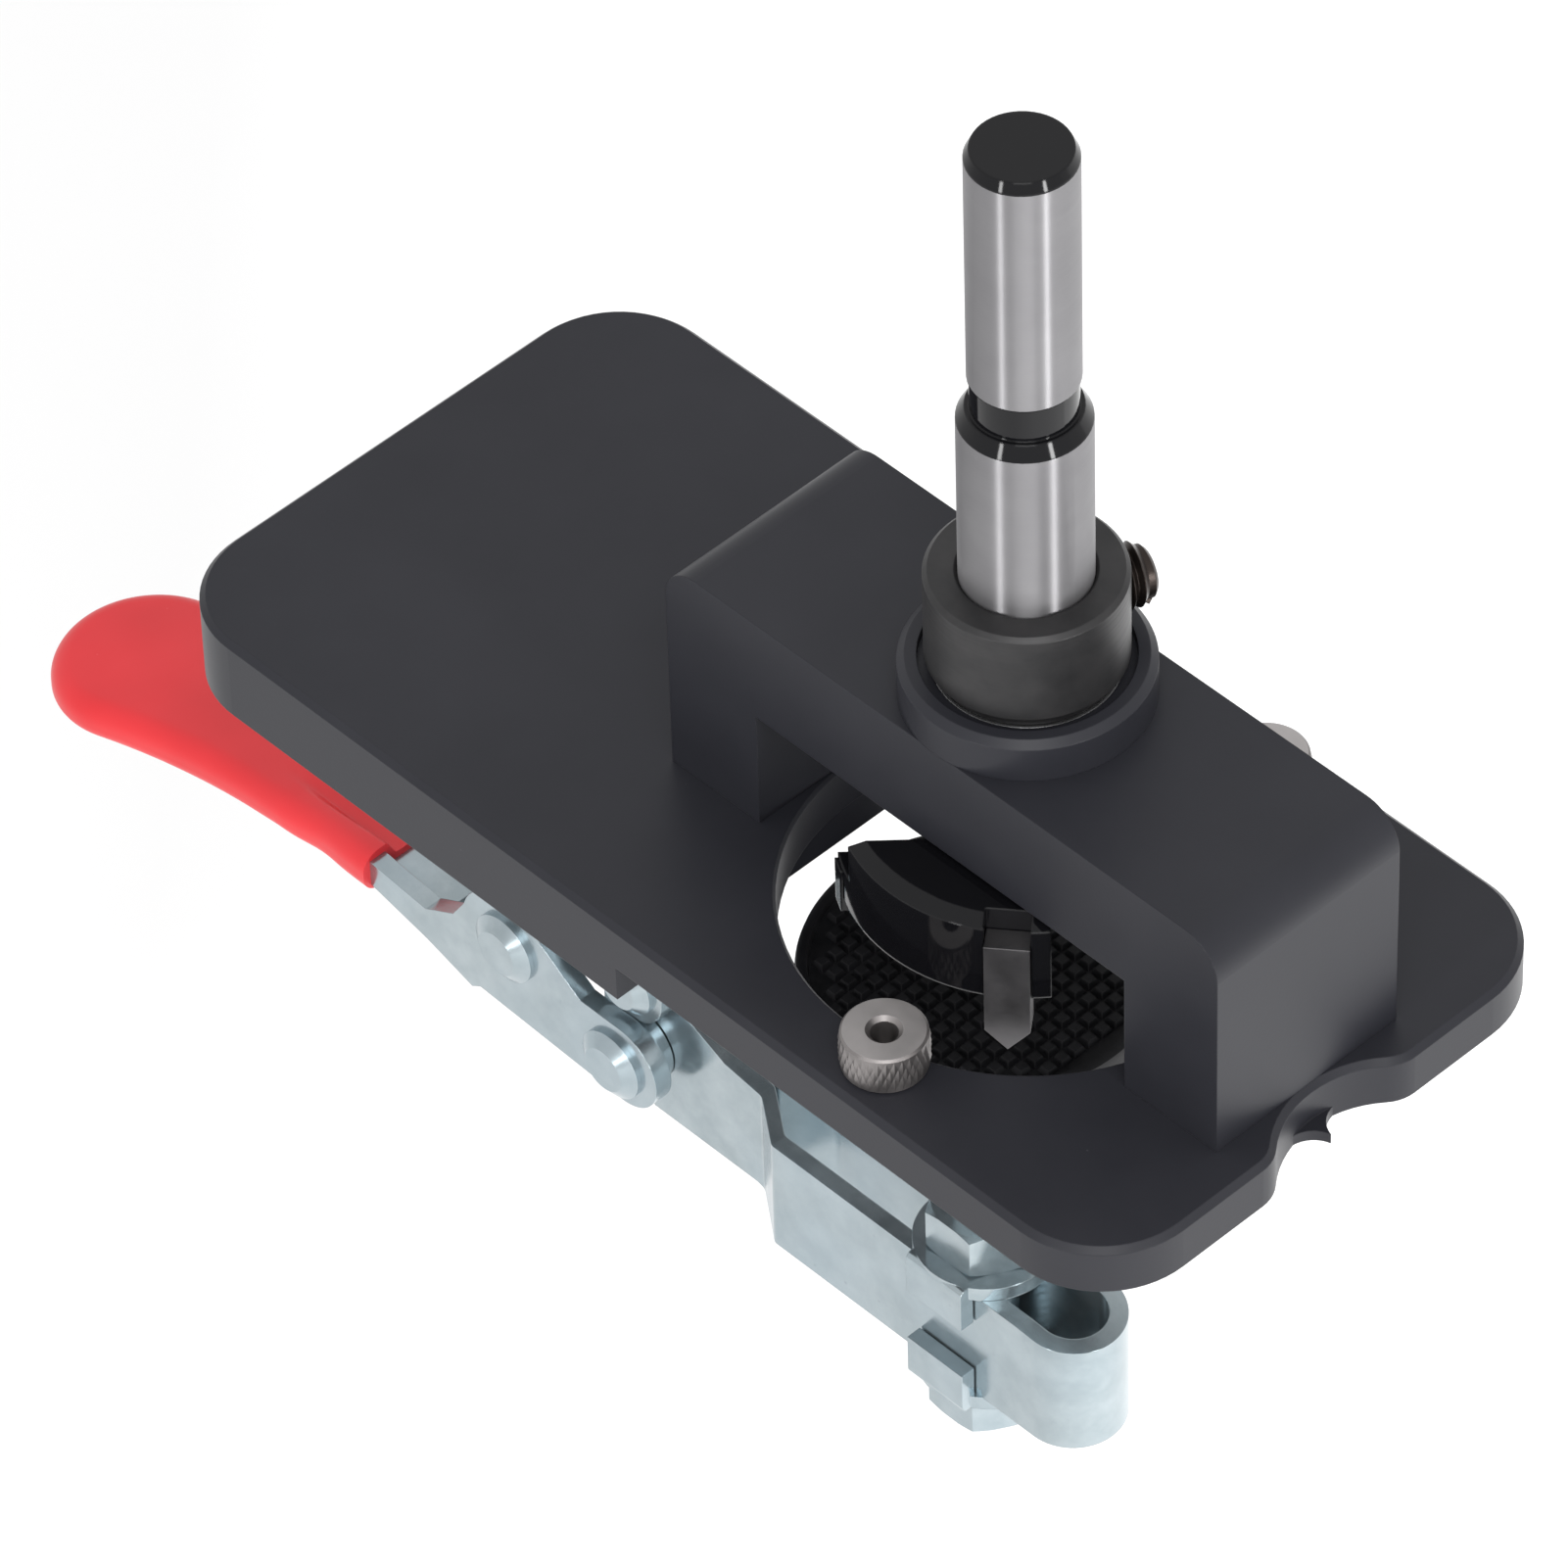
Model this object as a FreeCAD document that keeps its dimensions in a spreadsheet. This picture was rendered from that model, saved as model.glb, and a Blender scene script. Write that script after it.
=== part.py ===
import FreeCAD, Part

import math
import os
import re

import Sketcher

# Hinge drilling jig: a flat aluminium base with a guide bridge, a cup boring bit with a stop collar,
# two pilot bushes, and a toggle clamp that hangs under the base and holds the door against it.
#
# Frame: the origin is on the drill axis, on the flat face that lies on the door (the underside of the
# thin part of the base). +X runs along the base to its notched end, +Z is up along the bit's shank.

doc = FreeCAD.newDocument("hinge_drilling_jig")
sheet = doc.addObject("Spreadsheet::Sheet", "Sizes")

SIZES = [
    # base plate
    ("plate_left", 84.1, "drill axis to the clamp end of the plate"),
    ("plate_right", 38.3, "drill axis to the notched end"),
    ("plate_width", 59.0, "plate across"),
    ("plate_thick", 5.2, "plate thickness over the door"),
    ("plate_step", 4.0, "extra depth of the clamp end, which stops against the door's edge"),
    ("plate_corner", 10.0, "plan corner radius"),
    ("plate_bevel", 0.6, "bevel round the top edge"),
    ("cup_hole", 45.4, "opening for the cutter, across"),
    ("cup_bevel", 0.3, "bevel of that opening"),
    ("cup_wall", 0.1, "cutter opening to the stop edge"),
    ("notch_depth", 3.5, "depth of the sighting notch"),
    ("notch_radius", 10.8, "hollow of the notch"),
    ("shoulder_radius", 4.0, "round shoulders beside the notch"),
    ("tongue_thick", 1.2, "thin sighting tongue in the foot of the notch"),
    ("tongue_point", 1.0, "end of the plate to the tongue's point"),
    ("tongue_scallop", 3.0, "radius of the two scallops beside the point"),
    ("tongue_pitch", 2.9, "centre line to a scallop's centre"),
    ("tongue_root", 2.2, "foot of the notch to the back of the tongue, inside the plate"),
    ("scallop_turn", 136.0, "degrees from the plate's length to where a scallop runs into the plate"),
    # pilot bushes
    ("pilot_ahead", 6.0, "pilot bushes ahead of the drill axis"),
    ("pilot_edge", 5.5, "side of the plate to a pilot bush's axis"),
    ("pilot_head", 8.3, "knurled head, across"),
    ("pilot_height", 4.2, "knurled head, height"),
    ("pilot_bore", 2.6, "pilot drill bore"),
    ("pilot_mouth", 0.4, "countersink of the bore"),
    ("pilot_spigot", 6.0, "spigot in the plate, across"),
    # bridge
    ("leg_thick", 11.3, "thickness of a leg of the bridge"),
    ("leg_back", 0.3, "edge of the cutter opening to a leg"),
    ("bridge_width", 22.6, "bridge across"),
    ("bridge_clear", 13.4, "plate to the underside of the beam"),
    ("beam_thick", 11.75, "beam of the bridge"),
    ("bridge_round", 4.0, "rounding of the beam's upper ends"),
    ("leg_screw_pitch", 12.0, "bridge screws, across the bridge"),
    ("leg_screw_bite", 9.0, "length of a bridge screw in its leg"),
    ("screw_dia", 5.0, "bridge and clamp screws"),
    ("screw_head", 9.2, "screw heads, across"),
    ("screw_head_thick", 2.5, "screw heads, height"),
    ("screw_sink", 0.2, "bridge screw heads below the plate's face"),
    ("screw_key", 3.0, "hexagon key of the screws, across flats"),
    ("screw_key_deep", 1.4, "depth of the key's socket"),
    # guide bush, bearings and sleeve
    ("boss_dia", 23.0, "flange of the guide bush, across"),
    ("boss_height", 4.45, "flange of the guide bush, height"),
    ("boss_bevel", 0.7, "bevel round the flange"),
    ("boss_rim", 1.8, "rim round the recess in the flange"),
    ("boss_recess_deep", 0.9, "recess in the flange, depth"),
    ("bush_dia", 20.0, "guide bush in the beam, across"),
    ("bush_rib", 15.4, "rib between the bearings, bore"),
    ("bearing_dia", 17.0, "bearings, across"),
    ("bearing_high", 4.6, "bearings, height"),
    ("sleeve_dia", 14.0, "turning sleeve, across"),
    ("sleeve_flange", 16.4, "flange of the sleeve, across"),
    ("sleeve_proud", 0.2, "flange of the sleeve above the guide bush"),
    # boring bit
    ("shank_dia", 12.0, "lower shank"),
    ("chuck_dia", 10.0, "upper shank, held in the drill's chuck"),
    ("neck_dia", 9.6, "undercut below the upper shank"),
    ("shoulder_z", 63.25, "top of the lower shank"),
    ("shoulder_bevel", 1.4, "height of the lower shank's bevel"),
    ("shoulder_bevel_in", 0.8, "width of the lower shank's bevel"),
    ("chuck_z", 68.3, "foot of the upper shank"),
    ("shank_top", 94.2, "top of the bit"),
    ("top_bevel", 1.0, "height of the top bevel"),
    ("top_bevel_in", 0.5, "width of the top bevel"),
    ("head_dia", 34.4, "cutter head, across"),
    ("cup_dia", 35.0, "bored cup, across"),
    ("head_low", 9.0, "underside of the cutter head"),
    ("head_high", 8.9, "height of the cutter head"),
    ("head_bevel", 0.7, "height of the bevel on the head"),
    ("head_bevel_in", 1.5, "width of the bevel on the head"),
    ("head_hub", 18.0, "hub of the head, across"),
    ("wing_front", -133.3, "direction of a wing's cutting face"),
    ("wing_set", 2.4, "drill axis to the plane of the cutting face"),
    ("brow_set", 6.0, "drill axis to the wing's end above the main cutter"),
    ("brow_gap", 0.7, "ledge of the wing above the main cutter"),
    ("wing_back", -38.5, "angle of a wing's trailing end"),
    ("blade_thick", 1.8, "main cutter, thickness"),
    ("blade_relief", 0.45, "relief of the main cutter's outer end"),
    ("blade_root", 2.6, "drill axis to the main cutter's inner end"),
    ("blade_out", 1.8, "main cutter below the head"),
    ("blade_tall", 5.0, "main cutter, height"),
    ("spur_angle", -51.5, "angle of a scoring spur"),
    ("spur_width", 4.1, "scoring spur, across"),
    ("spur_deep", 2.4, "scoring spur, radial depth"),
    ("spur_drop", 4.0, "straight part of the spur below the head"),
    ("spur_point", 2.3, "pointed part of the spur"),
    ("spur_tall", 10.4, "straight height of the spur"),
    ("braze", 0.05, "braze gap round the cutters"),
    ("point_drop", 6.6, "centre point below the head"),
    ("point_dia", 4.4, "centre point, across"),
    ("point_cone", 4.2, "height of the point's cone"),
    # stop collar
    ("collar_dia", 18.2, "stop collar, across"),
    ("collar_high", 10.1, "stop collar, height"),
    ("collar_bevel", 0.45, "bevel of the collar"),
    ("collar_mouth", 0.3, "countersink of the collar's bore"),
    ("set_screw_dia", 6.0, "set screw"),
    ("set_screw_out", 11.7, "drill axis to the set screw's outer end"),
    ("set_screw_turn", 70.0, "direction of the set screw round the axis"),
    ("set_screw_up", 5.0, "set screw above the collar's foot"),
    # fits
    ("run_gap", 0.04, "radial running clearance"),
    ("seat_gap", 0.03, "radial clearance of what is pressed or screwed in"),
    ("side_gap", 0.1, "side clearance between moving sheets"),
    # clamp pivots
    ("arm_pin_x", -50.1, "arm's pivot on the clamp base"),
    ("arm_pin_z", -41.0, "height of the arm's pivot"),
    ("lever_pin_x", -50.3, "lever's pivot on the arm"),
    ("lever_pin_z", -50.5, "height of the lever's pivot"),
    ("link_pin_x", -64.8, "link's pivot on the lever"),
    ("link_pin_z", -45.3, "height of the link's pivot on the lever"),
    ("base_pin_x", -73.0, "link's pivot on the clamp base"),
    ("base_pin_z", -37.0, "height of the link's pivot on the clamp base"),
    ("pin_dia", 4.8, "rivet shank"),
    ("rivet_head", 7.6, "rivet head, across"),
    ("rivet_flat", 4.9, "flat of the rivet head"),
    ("rivet_rise", 1.45, "height of the rivet head"),
    ("small_head", 6.8, "head of the rivets in the clamp base, across"),
    ("ring_dia", 8.0, "spacer rings"),
    ("loose_eye", 1.45, "extra radius of the link's eye on the base rivet"),
    # clamp arm
    ("arm_sheet", 1.8, "sheet of the arm"),
    ("arm_slit", 0.1, "centre line to a strip where the two lie together"),
    ("arm_half", 5.2, "centre line to the outside of the arm"),
    ("arm_top", -47.0, "top of the arm"),
    ("arm_low", -60.4, "bottom of the arm"),
    ("arm_rear_low", -58.8, "bottom of the rear of the arm"),
    ("arm_nose_run", 2.0, "loop's centre back to where the top starts to fall"),
    ("arm_nose_fall", 0.5, "fall of the top over the loop"),
    ("arm_eye_run", 5.0, "joggle to the shoulder before the arm's pivot"),
    ("arm_eye_rise", 1.4, "rise of the top to that shoulder"),
    ("arm_tail_run", 1.0, "straight bottom at each end of the rear of the arm"),
    ("arm_loop_x", 4.95, "centre of the end loop"),
    ("joggle_back", -34.3, "where the strips start to part"),
    ("joggle_front", -29.6, "where the strips run straight"),
    ("joggle_bend", 1.1, "radius of the joggle's bends"),
    ("arm_eye", 5.4, "radius of the arm round its pivot"),
    ("arm_tail", 5.6, "radius of the arm round the lever's pivot"),
    # lever and grip
    ("cheek_sheet", 2.0, "sheet of the lever"),
    ("nose_radius", 4.8, "round nose of the cheeks"),
    ("nose_ahead", 1.0, "lever's pivot to the nose's centre, along"),
    ("nose_up", 0.4, "lever's pivot to the nose's centre, up"),
    ("lobe_radius", 6.1, "cheeks round the link's pivot"),
    ("floor_start", -70.2, "where the lever's floor starts"),
    ("nose_run", 8.0, "nose's centre to the low corner behind it"),
    ("nose_rise", 0.4, "rise of the cheeks' lower edge to that corner"),
    ("lobe_from", 38.0, "degrees from the lever's length to where the lobe round the link's pivot starts"),
    ("lobe_to", 165.0, "degrees to where that lobe ends"),
    ("lobe_run", 4.0, "lobe to the corner ahead of it"),
    ("floor_step", 1.0, "step of the cheeks' lower edge at the floor"),
    ("floor_ramp", 1.2, "length of that step"),
    ("floor_rise", 0.2, "lowest point of the floor above the nose's"),
    ("waist_run", 4.0, "waist to the corner ahead of it"),
    ("waist_rise", 2.2, "rise to that corner"),
    ("waist_drop", 1.8, "lever's underside at the waist below that at the mouth"),
    ("waist_x", -76.4, "lowest place of the cheeks' upper edge"),
    ("waist_z", -48.6, "height of the cheeks there"),
    ("mouth_x", -84.2, "mouth of the grip"),
    ("mouth_top", -47.8, "cheeks' upper edge at the mouth"),
    ("mouth_low", -50.9, "lever's underside at the mouth"),
    ("mouth_floor", 1.2, "lever's sheet under the channel at the mouth"),
    ("valley_end", -97.0, "where the lever's channel runs out"),
    ("run_out", 0.01, "height of the channel's floor over the tang where it runs out"),
    ("tang_top", -48.8, "top of the flat tang where the channel ends"),
    ("tang_thick", 2.6, "thickness of the flat tang"),
    ("tang_fall", 3.8, "fall of the tang to its end"),
    ("bulb_x", -122.9, "centre of the grip's round end"),
    ("bulb_radius", 9.8, "grip's round end"),
    ("neck_radius", 80.0, "hollow flanks before the round end"),
    ("grip_skin", 1.0, "thickness of the dipped grip at its end"),
    ("grip_lip", 0.9, "thickness of the dipped grip at its mouth"),
    ("grip_round", 1.5, "rounding of the grip's edges"),
    ("grip_run", 4.0, "end of the lever's channel to the end of the grip's valley"),
    ("grip_rise", 0.6, "height of the grip's valley there over its skin"),
    ("link_half_eye", 5.0, "radius of the link round the lever's rivet"),
    # clamp base
    ("ear_sheet", 1.9, "sheet of the clamp base"),
    ("base_back", -79.0, "rear edge of the clamp base"),
    ("base_front", -44.4, "front edge of the clamp base"),
    ("foot_half", 15.5, "centre line to the edge of a foot"),
    ("foot_bend", 1.5, "inner radius of the folded foot"),
    ("ear_radius", 4.5, "ears round the pivots"),
    ("ear_rise_run", 3.0, "half length of the ears' hollow beside the link's pivot"),
    ("ear_ring_gap", 0.5, "spacer rings to that hollow"),
    ("ear_low", -40.4, "lower edge of the ears between the pivots"),
    ("foot_screw_y", 10.6, "centre line to the clamp screws"),
    ("foot_screw_front", -51.0, "front pair of clamp screws"),
    ("foot_screw_back", -72.4, "rear pair of clamp screws"),
    ("foot_screw_bite", 6.0, "length of a clamp screw in the plate"),
    # spindle and pad
    ("spindle_x", -6.3, "spindle behind the drill axis"),
    ("spindle_dia", 6.0, "spindle"),
    ("spindle_low", -69.5, "lower end of the spindle"),
    ("spindle_bevel", 0.8, "bevel of that end"),
    ("pad_dia", 33.9, "rubber pad, across"),
    ("pad_top", -8.6, "top of the rubber pad"),
    ("pad_thick", 4.4, "rubber pad, thickness"),
    ("pad_bevel", 0.5, "bevel of the pad"),
    ("disc_dia", 30.0, "steel disc under the pad, across"),
    ("disc_thick", 2.0, "steel disc under the pad"),
    ("socket_dia", 10.0, "socket of the disc, across"),
    ("socket_high", 5.0, "socket of the disc, height"),
    ("nut_flats", 10.0, "nuts across flats"),
    ("nut_thick", 5.0, "nuts"),
    ("nut_bevel", 0.5, "height of the nuts' bevel"),
    ("saddle_sheet", 1.6, "sheet of the saddle washers"),
    ("saddle_radius", 6.9, "plate of a saddle washer"),
    ("saddle_wing", 3.6, "half width of a saddle's wings"),
    ("saddle_reach", 3.5, "how far the wings reach over the arm"),
    ("saddle_gap", 0.15, "wing to arm"),
]

VALUES = {}
for row, (alias, value, meaning) in enumerate(SIZES, start=1):
    VALUES[alias] = value
    sheet.set("A%d" % row, alias)
    sheet.set("B%d" % row, repr(value))
    sheet.set("C%d" % row, meaning)
    sheet.setAlias("B%d" % row, alias)
doc.recompute()

# Places that several pieces share, written with the sheet's own names.
PILOT_OUT = "(plate_width/2-pilot_edge)"
RISER_X = "(-cup_hole/2-cup_wall)"
LEG_IN = "(cup_hole/2+leg_back)"
LEG_OUT = "(cup_hole/2+leg_back+leg_thick)"
LEG_MID = "(cup_hole/2+leg_back+leg_thick/2)"
BEAM_LOW = "(plate_thick+bridge_clear)"
BEAM_TOP = "(plate_thick+bridge_clear+beam_thick)"
BOSS_TOP = "(plate_thick+bridge_clear+beam_thick+boss_height)"
SEAT_TOP = "(plate_thick+bridge_clear+beam_thick+boss_height-boss_recess_deep)"
COLLAR_Z = "(plate_thick+bridge_clear+beam_thick+boss_height+sleeve_proud)"
HEAD_TOP = "(head_low+head_high)"
BLADE_TOP = "(head_low-blade_out+blade_tall)"
BLADE_REACH = "sqrt((cup_dia/2)^2-wing_set^2)"
STRIP_BACK = "(arm_slit+arm_sheet)"
EAR_IN = "(arm_slit+arm_sheet+side_gap)"
EAR_OUT = "(arm_slit+arm_sheet+side_gap+ear_sheet)"
CHEEK_IN = "(arm_slit+arm_sheet+2*side_gap+ear_sheet)"
CHEEK_OUT = "(arm_slit+arm_sheet+2*side_gap+ear_sheet+cheek_sheet)"

PARTS = {}


def linked(expression):
    """The expression with each size read from the sheet."""
    def name(word):
        return "Sizes." + word.group() if word.group() in VALUES else word.group()
    return re.sub(r"[a-z]\w*", name, str(expression))


def number(expression):
    """The expression's value now."""
    return float(sheet.evalExpression(str(expression)))


def tie(thing, path, expression):
    """Sets a property to an expression, and keeps it bound where the expression names a size."""
    thing.setExpression(path, linked(expression))


def piece(label):
    """A body that becomes one file of that name."""
    body = doc.addObject("PartDesign::Body", label)
    PARTS[label] = body
    return body


def scrap(label):
    """A body that only serves to make another piece."""
    return doc.addObject("PartDesign::Body", label)


def origin_part(body, role):
    return [part for part in body.Origin.OriginFeatures if part.Role == role][0]


def keep(label, thing):
    thing.Label = label
    PARTS[label] = thing
    return thing


def place(thing, x="0", y="0", z="0", axis=None, angle="0"):
    """Puts a thing at a place given by expressions, turned about one axis."""
    turn = FreeCAD.Rotation(FreeCAD.Vector(*axis), number(angle)) if axis else FreeCAD.Rotation()
    thing.Placement = FreeCAD.Placement(FreeCAD.Vector(number(x), number(y), number(z)), turn)
    tie(thing, "Placement.Base.x", x)
    tie(thing, "Placement.Base.y", y)
    tie(thing, "Placement.Base.z", z)
    if axis and angle != "0" and re.search("[a-z]", angle):
        tie(thing, "Placement.Rotation.Angle", angle)
    return thing


def plain_angle(expression):
    """An angle in degrees as a plain number."""
    return "(%s/(1 deg))" % expression


def polar(centre_x, centre_y, radius, angle):
    """A point at a radius and angle from a centre."""
    return ("(%s)+(%s)*cos(%s)" % (centre_x, radius, angle), "(%s)+(%s)*sin(%s)" % (centre_y, radius, angle))


def arc(centre_x, centre_y, radius, start, end):
    """A step of an outline: an arc from one angle to another, anticlockwise where the end is larger."""
    return ("arc", centre_x, centre_y, radius, start, end)


def lock(sketch, index, position, x, y, label):
    """Ties one point of a sketch to two expressions."""
    for kind, value, tag in (("DistanceX", x, "along"), ("DistanceY", y, "up")):
        item = sketch.addConstraint(Sketcher.Constraint(kind, -1, 1, index, position, number(value)))
        sketch.renameConstraint(item, "%s_%s" % (tag, label))
        tie(sketch, "Constraints.%s_%s" % (tag, label), value)


def fix_radius(sketch, index, radius, label):
    item = sketch.addConstraint(Sketcher.Constraint("Radius", index, number(radius)))
    sketch.renameConstraint(item, "radius_" + label)
    tie(sketch, "Constraints.radius_" + label, radius)


def draw_circle(sketch, centre_x, centre_y, radius):
    centre = FreeCAD.Vector(number(centre_x), number(centre_y), 0)
    index = sketch.addGeometry(Part.Circle(centre, FreeCAD.Vector(0, 0, 1), number(radius)))
    label = "c%d" % index
    lock(sketch, index, 3, centre_x, centre_y, label)
    fix_radius(sketch, index, radius, label)


def split_arc(step):
    """Cuts a long arc into stretches of at most 100 degrees, so that each radius fixes its arc."""
    kind, centre_x, centre_y, radius, start, end = step
    sweep = number(end) - number(start)
    count = max(1, math.ceil(abs(sweep) / 100.0))
    stops = ["(%s)+((%s)-(%s))*%d/%d" % (start, end, start, turn, count) for turn in range(count + 1)]
    return [(centre_x, centre_y, radius, stops[turn], stops[turn + 1]) for turn in range(count)]


def outline_pieces(steps):
    """Lists an outline's lines and arcs, each with its two end points as expressions."""
    runs = []
    for step in steps:
        if step[0] == "arc":
            for centre_x, centre_y, radius, start, end in split_arc(step):
                first = polar(centre_x, centre_y, radius, start)
                last = polar(centre_x, centre_y, radius, end)
                runs.append((first, last, (centre_x, centre_y, radius, start, end)))
        else:
            runs.append((step, step, None))
    return runs


def distance(first, last):
    return math.hypot(number(first[0]) - number(last[0]), number(first[1]) - number(last[1]))


def draw(sketch, steps):
    """Draws one closed outline. A step is a corner (x, y) or an arc."""
    runs = outline_pieces(steps)
    pieces = []
    for place_in_list, (first, last, bend) in enumerate(runs):
        if bend:
            pieces.append((first, last, bend))
        following = runs[(place_in_list + 1) % len(runs)][0]
        if distance(last, following) > 1e-6:
            pieces.append((last, following, None))
    ends = []
    for first, last, bend in pieces:
        start = FreeCAD.Vector(number(first[0]), number(first[1]), 0)
        stop = FreeCAD.Vector(number(last[0]), number(last[1]), 0)
        if bend is None:
            index = sketch.addGeometry(Part.LineSegment(start, stop))
            ends.append((index, 1, 2))
            continue
        centre_x, centre_y, radius, turn_from, turn_to = bend
        centre = FreeCAD.Vector(number(centre_x), number(centre_y), 0)
        circle = Part.Circle(centre, FreeCAD.Vector(0, 0, 1), number(radius))
        low, high = math.radians(number(turn_from)), math.radians(number(turn_to))
        backwards = high < low
        if backwards:
            low, high = high, low
        index = sketch.addGeometry(Part.ArcOfCircle(circle, low, high))
        ends.append((index, 2, 1) if backwards else (index, 1, 2))
    for count, (first, last, bend) in enumerate(pieces):
        index, head, tail = ends[count]
        after, after_head, after_tail = ends[(count + 1) % len(pieces)]
        sketch.addConstraint(Sketcher.Constraint("Coincident", index, tail, after, after_head))
        lock(sketch, index, head, first[0], first[1], "p%d" % index)
        if bend:
            fix_radius(sketch, index, bend[2], "r%d" % index)


def box_steps(low_x, low_y, high_x, high_y):
    return [(low_x, low_y), (high_x, low_y), (high_x, high_y), (low_x, high_y)]


def hexagon(flats):
    """Corners of a hexagon across flats."""
    return [polar("0", "0", "(%s)/2/cos(30)" % flats, str(60 * corner)) for corner in range(6)]


def new_sketch(body, plane, offset, outlines):
    """A sketch on one of the body's own planes, moved along the plane's normal."""
    sketch = body.newObject("Sketcher::SketchObject", body.Name + "_sketch")
    sketch.AttachmentSupport = (origin_part(body, plane + "_Plane"), [""])
    sketch.MapMode = "FlatFace"
    tie(sketch, "AttachmentOffset.Base.z", offset)
    for steps in outlines:
        if steps[0] == "circle":
            draw_circle(sketch, *steps[1:])
        else:
            draw(sketch, steps)
    return sketch


def slab(body, plane, low, high, *outlines, cut=False):
    """Adds, or cuts away, the outlines between two heights along the plane's normal axis."""
    offset = "-(%s)" % high if plane == "XZ" else low
    sketch = new_sketch(body, plane, offset, outlines)
    feature = body.newObject("PartDesign::Pocket" if cut else "PartDesign::Pad", body.Name + "_slab")
    feature.Profile = sketch
    if cut:
        feature.Reversed = True
    tie(feature, "Length", "(%s)-(%s)" % (high, low))
    return feature


def turned(body, *outlines, cut=False):
    """Turns the outlines, drawn as radius and height, about the body's Z axis."""
    sketch = new_sketch(body, "XZ", "0", outlines)
    kind = "PartDesign::Groove" if cut else "PartDesign::Revolution"
    feature = body.newObject(kind, body.Name + "_turned")
    feature.Profile = sketch
    feature.ReferenceAxis = (sketch, ["V_Axis"])
    feature.Angle = 360
    return feature


def repeat_round(body, feature, count):
    """Repeats a feature round the body's Z axis."""
    pattern = body.newObject("PartDesign::PolarPattern", body.Name + "_round")
    pattern.Originals = [feature]
    pattern.Axis = (origin_part(body, "Z_Axis"), [""])
    pattern.Angle = 360
    tie(pattern, "Occurrences", count)
    body.Tip = pattern
    return pattern


def chamfer(body, size, wanted):
    """Bevels the edges of the body's last feature that the test picks."""
    doc.recompute()
    base = body.Tip
    names = ["Edge%d" % number_ for number_, edge in enumerate(base.Shape.Edges, start=1) if wanted(edge)]
    feature = body.newObject("PartDesign::Chamfer", body.Name + "_bevel")
    feature.Base = (base, names)
    tie(feature, "Size", size)
    return feature


def rounding(body, radius, wanted):
    """Rounds the edges of the body's last feature that the test picks."""
    doc.recompute()
    base = body.Tip
    names = ["Edge%d" % number_ for number_, edge in enumerate(base.Shape.Edges, start=1) if wanted(edge)]
    feature = body.newObject("PartDesign::Fillet", body.Name + "_round_edges")
    feature.Base = (base, names)
    tie(feature, "Radius", radius)
    return feature


def flat_at(edge, height):
    """True for an edge that lies wholly at one height."""
    box = edge.BoundBox
    return abs(box.ZMin - height) < 1e-4 and abs(box.ZMax - height) < 1e-4


def middle(edge):
    return edge.valueAt((edge.FirstParameter + edge.LastParameter) / 2)


def group(label, things):
    """Several like pieces that share one file."""
    compound = doc.addObject("Part::Compound", label)
    compound.Links = things
    return keep(label, compound)


def plate_outline():
    """Plan of the plate: round corners, and a hollow notch between round shoulders."""
    half, corner = "plate_width/2", "plate_corner"
    left, right = "(-plate_left+plate_corner)", "(plate_right-plate_corner)"
    shoulder = "(plate_right-shoulder_radius)"
    # The notch circle touches both shoulder circles, so their centres are the summed radii apart.
    reach = "(notch_radius+shoulder_radius)"
    out = "sqrt(%s^2-(%s-notch_depth)^2)" % (reach, reach)
    lean = plain_angle("acos(%s/%s)" % (out, reach))
    return [
        arc(left, "(%s-%s)" % (half, corner), corner, "180", "90"),
        arc(right, "(%s-%s)" % (half, corner), corner, "90", "0"),
        arc(shoulder, out, "shoulder_radius", "0", "-(90-%s)" % lean),
        arc("(plate_right-notch_depth+notch_radius)", "0", "notch_radius", "90+%s" % lean, "270-%s" % lean),
        arc(shoulder, "-" + out, "shoulder_radius", "90-%s" % lean, "0"),
        arc(right, "-(%s-%s)" % (half, corner), corner, "0", "-90"),
        arc(left, "-(%s-%s)" % (half, corner), corner, "-90", "-180"),
    ]


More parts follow.
